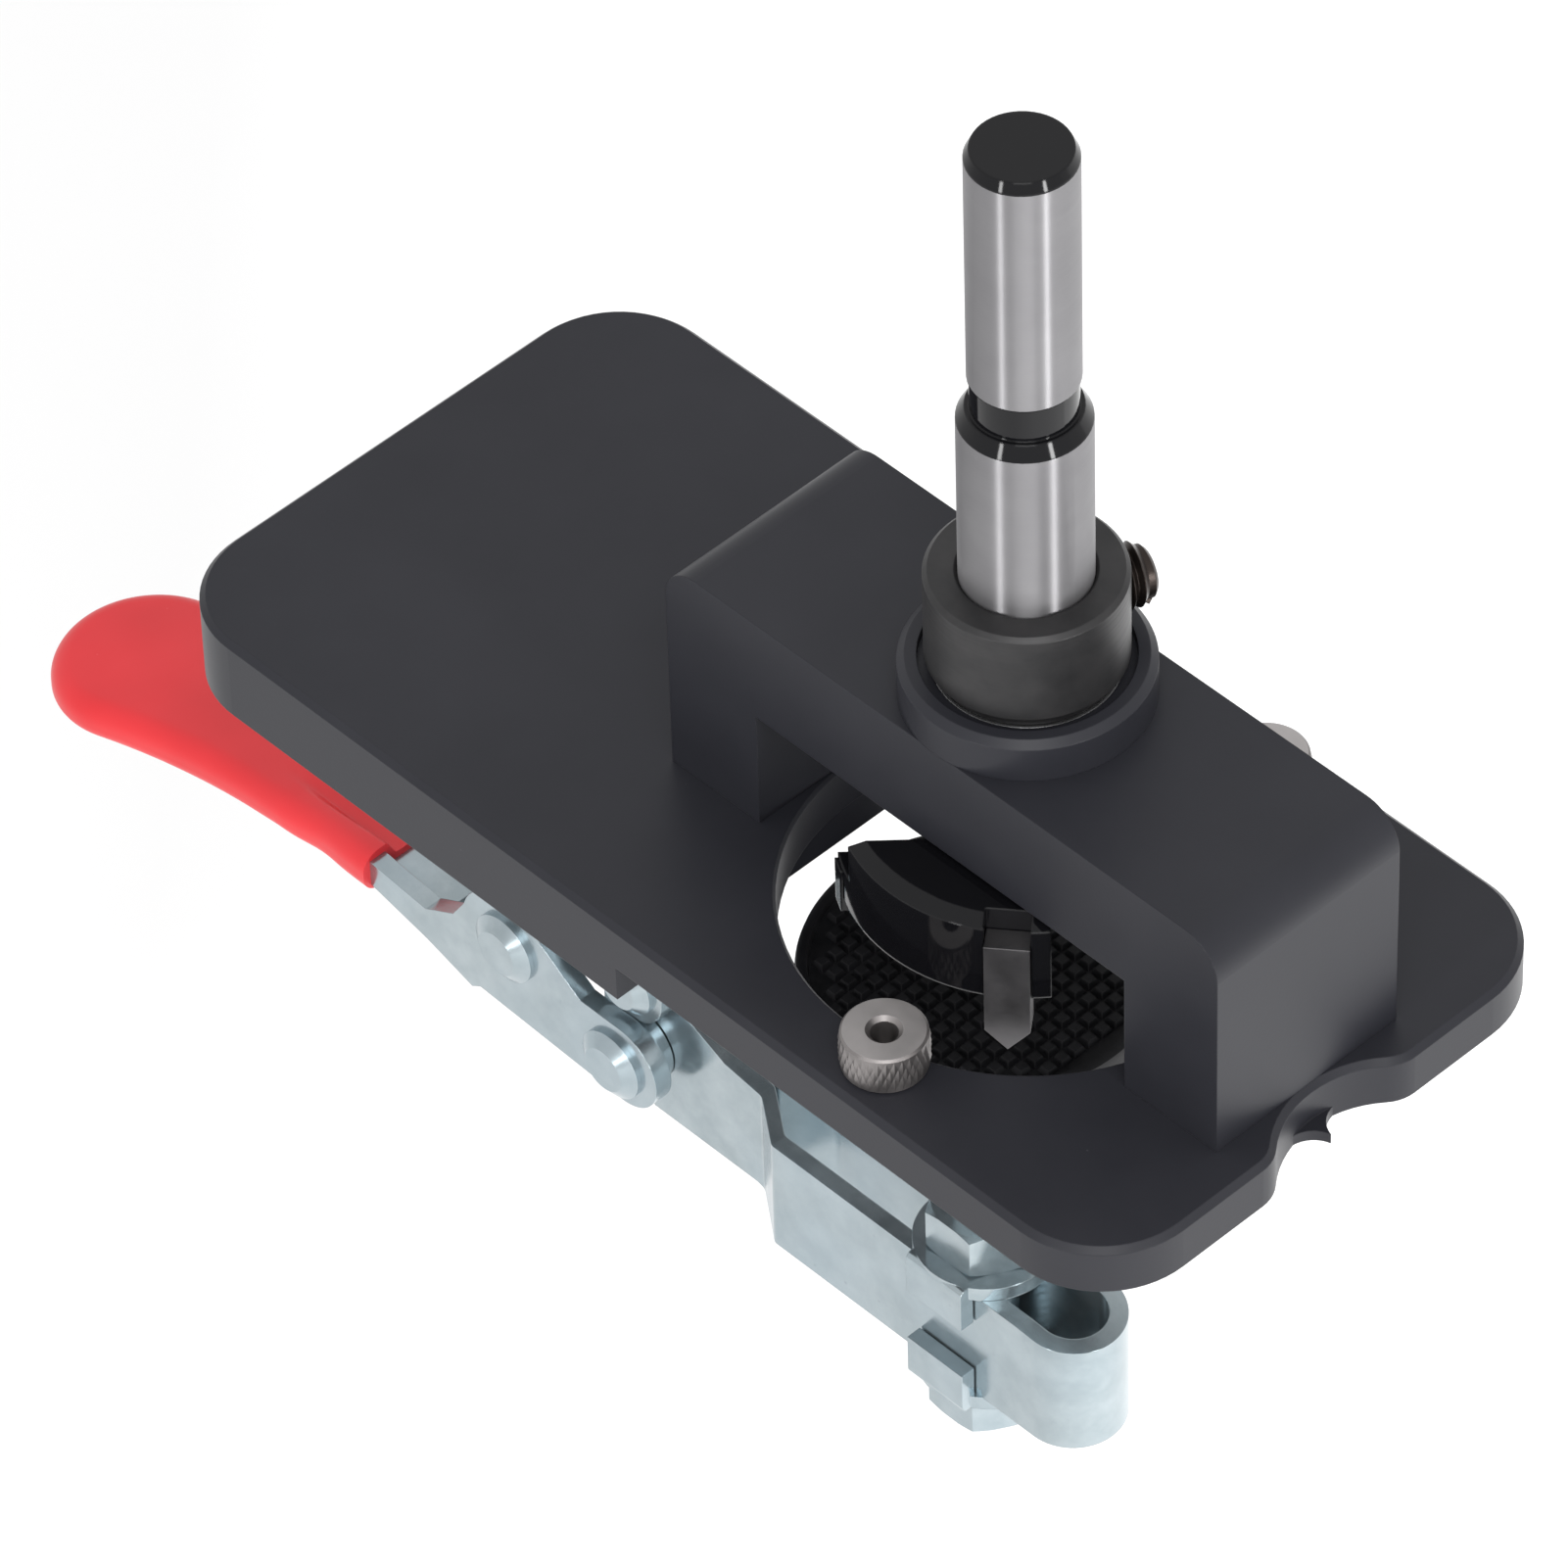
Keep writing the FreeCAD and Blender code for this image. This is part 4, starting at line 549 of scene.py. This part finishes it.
class Tree:
    """Shorthand for a Geometry Nodes tree with named inputs."""

    KINDS = {"number": "NodeSocketFloat", "count": "NodeSocketInt", "material": "NodeSocketMaterial"}

    def __init__(self, name, **inputs):
        self.group = bpy.data.node_groups.new(name, "GeometryNodeTree")
        self.group.interface.new_socket(name="Geometry", in_out="OUTPUT", socket_type="NodeSocketGeometry")
        for label, kind in inputs.items():
            self.group.interface.new_socket(name=label, in_out="INPUT", socket_type=self.KINDS[kind])
        self.given = self.group.nodes.new("NodeGroupInput")
        self.result = self.group.nodes.new("NodeGroupOutput")

    def input(self, label):
        return self.given.outputs[label]

    def add(self, kind, feeds=None, **settings):
        """Adds a node, sets its properties, and feeds its sockets by name or by number."""
        node = self.group.nodes.new(kind)
        for key, value in settings.items():
            setattr(node, key, value)
        for key, value in (feeds or {}).items():
            self.feed(node.inputs[key], value)
        return node

    def feed(self, socket, value):
        if isinstance(value, bpy.types.NodeSocket):
            self.group.links.new(value, socket)
        else:
            socket.default_value = value

    def math(self, operation, first, second=0.0):
        return self.add("ShaderNodeMath", {0: first, 1: second}, operation=operation).outputs[0]

    def vector(self, x=0.0, y=0.0, z=0.0):
        return self.add("ShaderNodeCombineXYZ", {0: x, 1: y, 2: z}).outputs[0]

    def grid_place(self, columns):
        """Column and row of each point, counted row by row."""
        index = self.add("GeometryNodeInputIndex").outputs[0]
        row = self.math("FLOOR", self.math("DIVIDE", self.math("ADD", index, 0.5), columns))
        return self.math("SUBTRACT", index, self.math("MULTIPLY", row, columns)), row

    def copies(self, points, shape, turn, size):
        """One copy of a shape on each point."""
        feeds = {"Points": points.outputs[0], "Instance": shape.outputs[0], "Rotation": turn.outputs[0],
                 "Scale": size}
        return self.add("GeometryNodeInstanceOnPoints", feeds).outputs[0]

    def finish(self, geometry):
        """Ends the tree: real geometry with its material."""
        real = self.add("GeometryNodeRealizeInstances", {0: geometry}).outputs[0]
        dressed = self.add("GeometryNodeSetMaterial", {"Geometry": real, "Material": self.input("Finish")})
        self.feed(self.result.inputs[0], dressed.outputs[0])


def run_tree(tree, **values):
    """Runs a tree with the given inputs and returns the result as a plain mesh."""
    holder = bpy.data.objects.new("holder", bpy.data.meshes.new("holder"))
    scene.collection.objects.link(holder)
    modifier = holder.modifiers.new("tree", "NODES")
    modifier.node_group = tree.group
    for item in tree.group.interface.items_tree:
        if item.in_out == "INPUT":
            modifier[item.identifier] = values[item.name]
    graph = bpy.context.evaluated_depsgraph_get()
    mesh = bpy.data.meshes.new_from_object(holder.evaluated_get(graph), depsgraph=graph)
    bpy.data.objects.remove(holder)
    return mesh


POLE_MERGE = 0.0001 * MM


def lathe(profile, centre, sides=96):
    """A closed profile of radius and height turned round an upright axis."""
    mesh = bmesh.new()
    rings = []
    for side in range(sides):
        angle = 2.0 * math.pi * side / sides
        across, along = math.cos(angle), math.sin(angle)
        rings.append([mesh.verts.new((centre[0] + radius * across, centre[1] + radius * along, height))
                      for radius, height in profile])
    for side in range(sides):
        first, second = rings[side], rings[(side + 1) % sides]
        for step in range(len(profile)):
            after = (step + 1) % len(profile)
            mesh.faces.new((first[step], second[step], second[after], first[after]))
    bmesh.ops.remove_doubles(mesh, verts=mesh.verts, dist=POLE_MERGE)
    bmesh.ops.recalc_face_normals(mesh, faces=mesh.faces)
    return mesh


def middle_of(low, high):
    """Centre of a box as seen from above."""
    return (low[0] + high[0]) / 2.0, (low[1] + high[1]) / 2.0


def stand_for(thing, node, body):
    """Puts a piece on its body, in place of the plain solid."""
    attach(thing, body)
    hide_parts(node)
    print(thing.name + ":", len(thing.data.polygons), "faces")


# %% [markdown]
# ## Knurled pilot bushes
# The bushes are turned and their heads rolled between two wheels, which raises rows of small pointed
# diamonds. Here every diamond is a four-sided cone laid on the head, each row half a step round from
# the last.

# %% Pilot bushes


def knurl_tree():
    tree = Tree("diamond_knurl", Radius="number", Low="number", Row_height="number", Around="count",
                Rows="count", Depth="number", Finish="material")
    around, rise = tree.input("Around"), tree.input("Row_height")
    column, row = tree.grid_place(around)
    turn = tree.math("DIVIDE", 2.0 * math.pi, around)
    offset = tree.math("MULTIPLY", tree.math("MODULO", row, 2.0), 0.5)
    angle = tree.math("MULTIPLY", tree.math("ADD", column, offset), turn)
    radius = tree.input("Radius")
    height = tree.math("ADD", tree.input("Low"), tree.math("MULTIPLY", tree.math("ADD", row, 1.0), rise))
    place = tree.vector(tree.math("MULTIPLY", radius, tree.math("COSINE", angle)),
                        tree.math("MULTIPLY", radius, tree.math("SINE", angle)), height)
    count = tree.math("MULTIPLY", around, tree.input("Rows"))
    points = tree.add("GeometryNodePoints", {"Count": count, "Position": place})
    cone_sizes = {"Vertices": 4, "Radius Top": 0.0, "Radius Bottom": 1.0, "Depth": 1.0}
    cone = tree.add("GeometryNodeMeshCone", cone_sizes, fill_type="NONE")
    outwards = tree.add("FunctionNodeEulerToRotation", {0: tree.vector(0.0, math.pi / 2.0, angle)})
    half_wide = tree.math("MULTIPLY", tree.math("MULTIPLY", radius, turn), 0.5)
    size = tree.vector(rise, half_wide, tree.input("Depth"))
    tree.finish(tree.copies(points, cone, outwards, size))
    return tree


KNURL = knurl_tree()
HEAD_RADIUS = 4.15 * MM
KNURL_DEPTH = 0.18 * MM
HEAD_LOW = 5.2 * MM
HEAD_HIGH = 9.4 * MM
BUSH_BEVEL = 0.22 * MM
BUSH_SHANK = 3.0 * MM
BORE = 1.3 * MM
BORE_BEVEL = 0.4 * MM
KNURL_ROWS = 3
KNURL_AROUND = 34
KNURL_ROOT = 0.01 * MM


def add_pilot_bush(node, name):
    low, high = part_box(node)
    centre = middle_of(low, high)
    foot = HEAD_RADIUS - KNURL_DEPTH
    flank_low, flank_high = HEAD_LOW + BUSH_BEVEL, HEAD_HIGH - BUSH_BEVEL
    mesh = lathe([(BORE, low[2]), (BUSH_SHANK, low[2]), (BUSH_SHANK, HEAD_LOW), (foot - BUSH_BEVEL, HEAD_LOW),
                  (foot, flank_low), (foot, flank_high), (foot - BUSH_BEVEL, HEAD_HIGH),
                  (BORE + BORE_BEVEL, HEAD_HIGH), (BORE, HEAD_HIGH - BORE_BEVEL)], centre=centre)
    knurl = run_tree(KNURL, Radius=foot - KNURL_ROOT, Low=flank_low,
                     Row_height=(flank_high - flank_low) / (KNURL_ROWS + 1), Around=KNURL_AROUND,
                     Rows=KNURL_ROWS, Depth=KNURL_DEPTH, Finish=BUSH)
    knurl.transform(Matrix.Translation((centre[0], centre[1], 0.0)))
    mesh.from_mesh(knurl)
    stand_for(add_piece(name, mesh, BUSH, crease=30.0), node, "frame")


add_pilot_bush("pilot_bush_near", "knurled_bush_near")
add_pilot_bush("pilot_bush_far", "knurled_bush_far")

# %% [markdown]
# ## The rubber pad
# The pad that presses on the door is moulded with rows of small studs inside a plain rim. The tree lays
# them on a square grid and drops those outside the rim.

# %% Studded pad
STUD_TOP = 0.38
STUD_FOOT = 0.60


def stud_tree():
    """Square studs on a square grid. Their top and foot are given in pitches."""
    tree = Tree("pad_studs", Pitch="number", Across="count", Reach="number", Height="number",
                Finish="material")
    pitch, across = tree.input("Pitch"), tree.input("Across")
    column, row = tree.grid_place(across)
    middle = tree.math("MULTIPLY", tree.math("SUBTRACT", across, 1.0), 0.5)
    x = tree.math("MULTIPLY", tree.math("SUBTRACT", column, middle), pitch)
    y = tree.math("MULTIPLY", tree.math("SUBTRACT", row, middle), pitch)
    points = tree.add("GeometryNodePoints", {"Count": tree.math("MULTIPLY", across, across),
                                             "Position": tree.vector(x, y, 0.0)})
    place = tree.add("GeometryNodeInputPosition").outputs[0]
    distance = tree.add("ShaderNodeVectorMath", {0: place}, operation="LENGTH").outputs["Value"]
    outside = tree.math("GREATER_THAN", distance, tree.input("Reach"))
    inside = tree.add("GeometryNodeDeleteGeometry", {"Geometry": points.outputs[0], "Selection": outside},
                      domain="POINT")
    stud_sizes = {"Vertices": 4, "Side Segments": 1, "Radius Top": STUD_TOP, "Radius Bottom": STUD_FOOT,
                  "Depth": 1.0}
    stud = tree.add("GeometryNodeMeshCone", stud_sizes, fill_type="NGON")
    turn = tree.add("FunctionNodeEulerToRotation", {0: tree.vector(0.0, 0.0, math.pi / 4.0)})
    size = tree.vector(pitch, pitch, tree.input("Height"))
    tree.finish(tree.copies(inside, stud, turn, size))
    return tree


STUDS = stud_tree()
STUD_PITCH = 1.7 * MM
STUD_HEIGHT = 0.6 * MM
STUDS_ACROSS = 19
RIM_CLEAR = 0.75 * STUD_PITCH
PAD_RIM = 1.1 * MM
PAD_FOOT_BEVEL = 0.4 * MM
RIM_LEAN = 0.2 * MM
RIM_ROUND = ((0.0, 0.7 * MM), (0.15 * MM, 0.25 * MM), (0.55 * MM, 0.0), (PAD_RIM, 0.0))


def add_pad():
    low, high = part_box("rubber_pad")
    centre = middle_of(low, high)
    radius = (high[0] - low[0]) / 2.0
    floor = high[2] - STUD_HEIGHT
    foot = [(0.0, low[2]), (radius - PAD_FOOT_BEVEL, low[2]), (radius, low[2] + PAD_FOOT_BEVEL)]
    rim = [(radius - inset, high[2] - drop) for inset, drop in RIM_ROUND]
    face = [(radius - PAD_RIM - RIM_LEAN, floor), (0.0, floor)]
    mesh = lathe(foot + rim + face, sides=128, centre=centre)
    studs = run_tree(STUDS, Pitch=STUD_PITCH, Across=STUDS_ACROSS, Reach=radius - PAD_RIM - RIM_CLEAR,
                     Height=STUD_HEIGHT, Finish=RUBBER)
    studs.transform(Matrix.Translation((centre[0], centre[1], floor)))
    mesh.from_mesh(studs)
    stand_for(add_piece("studded_pad", mesh, RUBBER, crease=35.0), "rubber_pad", "pad")


add_pad()

# %% [markdown]
# ## Threads
# The solids keep their threads plain. On a real screw a ridge winds round a core, so the tree winds a
# four-sided section along a helix: the corner that points outwards is the crest.

# %% Thread tree
STEPS_A_TURN = 28


def thread_tree():
    """A ridge of half a pitch each way, wound from the foot of the thread to its top."""
    tree = Tree("wound_thread", Radius="number", Pitch="number", Length="number", Finish="material")
    radius, pitch, length = tree.input("Radius"), tree.input("Pitch"), tree.input("Length")
    ridge = tree.math("MULTIPLY", pitch, 0.5)
    run = tree.math("SUBTRACT", length, pitch)
    turns = tree.math("DIVIDE", run, pitch)
    middle = tree.math("SUBTRACT", radius, ridge)
    helix = tree.add("GeometryNodeCurveSpiral", {"Resolution": STEPS_A_TURN, "Rotations": turns,
                                                 "Start Radius": middle, "End Radius": middle, "Height": run})
    upright = tree.add("GeometryNodeSetCurveNormal", {"Curve": helix.outputs[0]}, mode="Z_UP")
    section = tree.add("GeometryNodeCurvePrimitiveCircle", {"Resolution": 4, "Radius": ridge})
    ridges = tree.add("GeometryNodeCurveToMesh", {"Curve": upright.outputs[0],
                                                  "Profile Curve": section.outputs[0], "Fill Caps": True})
    lifted = tree.add("GeometryNodeTransform", {"Geometry": ridges.outputs[0],
                                                "Translation": tree.vector(0.0, 0.0, ridge)})
    tree.finish(lifted.outputs[0])
    return tree


THREAD = thread_tree()
THREAD_PITCH = 1.0 * MM
THREAD_CORE = 0.52 * MM

# %% Spindle
SPINDLE_BEVEL = 0.5 * MM
THREAD_SHORT = 0.6 * MM


def add_spindle():
    low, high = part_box("spindle")
    centre = middle_of(low, high)
    radius = (high[0] - low[0]) / 2.0
    core = radius - THREAD_CORE
    start = low[2] + SPINDLE_BEVEL
    mesh = lathe([(0.0, low[2]), (core - SPINDLE_BEVEL, low[2]), (core, start), (core, high[2]),
                  (0.0, high[2])], sides=48, centre=centre)
    thread = run_tree(THREAD, Radius=radius, Pitch=THREAD_PITCH, Length=high[2] - low[2] - THREAD_SHORT,
                      Finish=ZINC)
    thread.transform(Matrix.Translation((centre[0], centre[1], start)))
    mesh.from_mesh(thread)
    stand_for(add_piece("threaded_spindle", mesh, ZINC, crease=32.0), "spindle", "pad")


add_spindle()

# %% [markdown]
# ## The set screw
# The stop collar is held by a grub screw: a short thread with a bevelled tip and a hexagon socket for its
# key. Its core is stood upright from rings of points, six-sided in the socket, and is then laid down so
# that it points at the shank.

# %% Set screw
SCREW_TURN = math.radians(70.0)
SCREW_IN = 6.2 * MM
SCREW_OUT = 11.7 * MM
SCREW_LEVEL = 40.0 * MM
SCREW_RADIUS = 3.0 * MM
KEY_RADIUS = 1.7 * MM
KEY_DEEP = 2.4 * MM
TIP_BEVEL = 0.6 * MM
RIM_WIDE = 0.4 * MM
RIM_TALL = 0.35 * MM
SCREW_SIDES = 48
SIXTH = math.pi / 3.0
SCREW_THREAD_START = 0.15 * MM
SCREW_THREAD_SHORT = 0.4 * MM


def add_set_screw():
    """Grub screw: a threaded core whose outer end has a hexagon socket."""
    core = SCREW_RADIUS - THREAD_CORE
    length = SCREW_OUT - SCREW_IN
    mesh = bmesh.new()
    rings = []
    for radius, height, hexagonal in ((core - TIP_BEVEL, 0.0, False), (core, TIP_BEVEL, False),
                                      (core, length - RIM_TALL, False), (core - RIM_WIDE, length, False),
                                      (KEY_RADIUS, length, True), (KEY_RADIUS, length - KEY_DEEP, True)):
        ring = []
        for side in range(SCREW_SIDES):
            angle = 2.0 * math.pi * side / SCREW_SIDES
            part = (angle + SIXTH / 2.0) % SIXTH - SIXTH / 2.0
            reach = radius * math.cos(SIXTH / 2.0) / math.cos(part) if hexagonal else radius
            ring.append(mesh.verts.new((reach * math.cos(angle), reach * math.sin(angle), height)))
        rings.append(ring)
    for first, second in zip(rings, rings[1:]):
        for side in range(SCREW_SIDES):
            after = (side + 1) % SCREW_SIDES
            mesh.faces.new((first[side], first[after], second[after], second[side]))
    mesh.faces.new(rings[0])
    mesh.faces.new(rings[-1])
    bmesh.ops.recalc_face_normals(mesh, faces=mesh.faces)
    thread = run_tree(THREAD, Radius=SCREW_RADIUS, Pitch=THREAD_PITCH, Length=length - SCREW_THREAD_SHORT,
                      Finish=SCREW_BLACK)
    thread.transform(Matrix.Translation((0.0, 0.0, SCREW_THREAD_START)))
    mesh.from_mesh(thread)
    start = Vector((SCREW_IN * math.cos(SCREW_TURN), SCREW_IN * math.sin(SCREW_TURN), SCREW_LEVEL))
    turn = Matrix.Rotation(SCREW_TURN, 4, "Z") @ Matrix.Rotation(math.pi / 2.0, 4, "Y")
    mesh.transform(Matrix.Translation(start) @ turn)
    screw = add_piece("grub_screw", mesh, SCREW_BLACK, crease=32.0)
    stand_for(screw, "collar_set_screw", "collar")


add_set_screw()

# %% [markdown]
# ## Floor and light
# A white floor and a white surround light the jig softly from all sides. Three lamps shape it. Two are
# narrow and stand low at the left and at the right, because the ground shanks draw each of them out into
# an upright stripe. The third is broad and stands high in front, and gives the grip and the plate their
# sheen.

# %% Floor
# The clamp opens downwards, so the floor lies below everything that it can reach.
FLOOR_DROP = 0.11
FLOOR_REACH = 3.0
FLOOR_WHITE = 0.80
DIM_SIDE = 0.12
BRIGHT_SIDE = 0.62
GLOW_REACH = 0.14


def add_floor():
    """A wide white table. It glows more to the right and back, so the plated sheet has dark sides."""
    level = cad_box[0][2] - FLOOR_DROP
    corners = [(-FLOOR_REACH, -FLOOR_REACH, level), (FLOOR_REACH, -FLOOR_REACH, level),
               (FLOOR_REACH, FLOOR_REACH, level), (-FLOOR_REACH, FLOOR_REACH, level)]
    data = bpy.data.meshes.new("floor")
    data.from_pydata(corners, [], [(0, 1, 2, 3)])
    graph = Graph("floor")
    rightwards = graph.math("ADD", graph.axis("X"), graph.axis("Y"))
    glow = graph.spread(rightwards, DIM_SIDE, BRIGHT_SIDE, start=-GLOW_REACH, end=GLOW_REACH)
    graph.set(Base_Color=(FLOOR_WHITE, FLOOR_WHITE, FLOOR_WHITE, 1.0), Roughness=0.9,
              Emission_Color=(1.0, 1.0, 1.0, 1.0), Emission_Strength=glow)
    data.materials.append(graph.material)
    floor = bpy.data.objects.new("floor", data)
    scene.collection.objects.link(floor)
    print("floor at", round(level / MM, 1), "mm")


add_floor()

# %% Surround and lamps
SURROUND = 0.86
LAMPS = {
    "left": {"place": (0.12, -0.97, 0.22), "aim": (0.0, 0.0, 0.03), "size": (0.10, 0.40), "power": 2.4},
    "right": {"place": (0.97, -0.06, 0.22), "aim": (0.0, 0.0, 0.03), "size": (0.10, 0.40), "power": 3.0},
    "front": {"place": (0.62, -0.58, 0.90), "aim": (0.0, 0.0, 0.0), "size": (0.60, 0.60), "power": 5.5},
}


def add_surround():
    world = bpy.data.worlds.new("studio")
    world.use_nodes = True
    background = world.node_tree.nodes["Background"]
    background.inputs["Color"].default_value = (1.0, 1.0, 1.0, 1.0)
    background.inputs["Strength"].default_value = SURROUND
    scene.world = world


def add_lamp(name, place, aim, size, power):
    """A rectangular lamp, turned to shine at its aim."""
    data = bpy.data.lights.new(name, "AREA")
    data.shape = "RECTANGLE"
    data.size, data.size_y = size
    data.energy = power
    lamp = bpy.data.objects.new(name, data)
    lamp.location = place
    lamp.rotation_euler = (Vector(aim) - Vector(place)).to_track_quat("-Z", "Y").to_euler()
    scene.collection.objects.link(lamp)


add_surround()
for name, settings in LAMPS.items():
    add_lamp(name, **settings)
scene.view_settings.view_transform = "Standard"
print("lamps:", ", ".join(LAMPS))
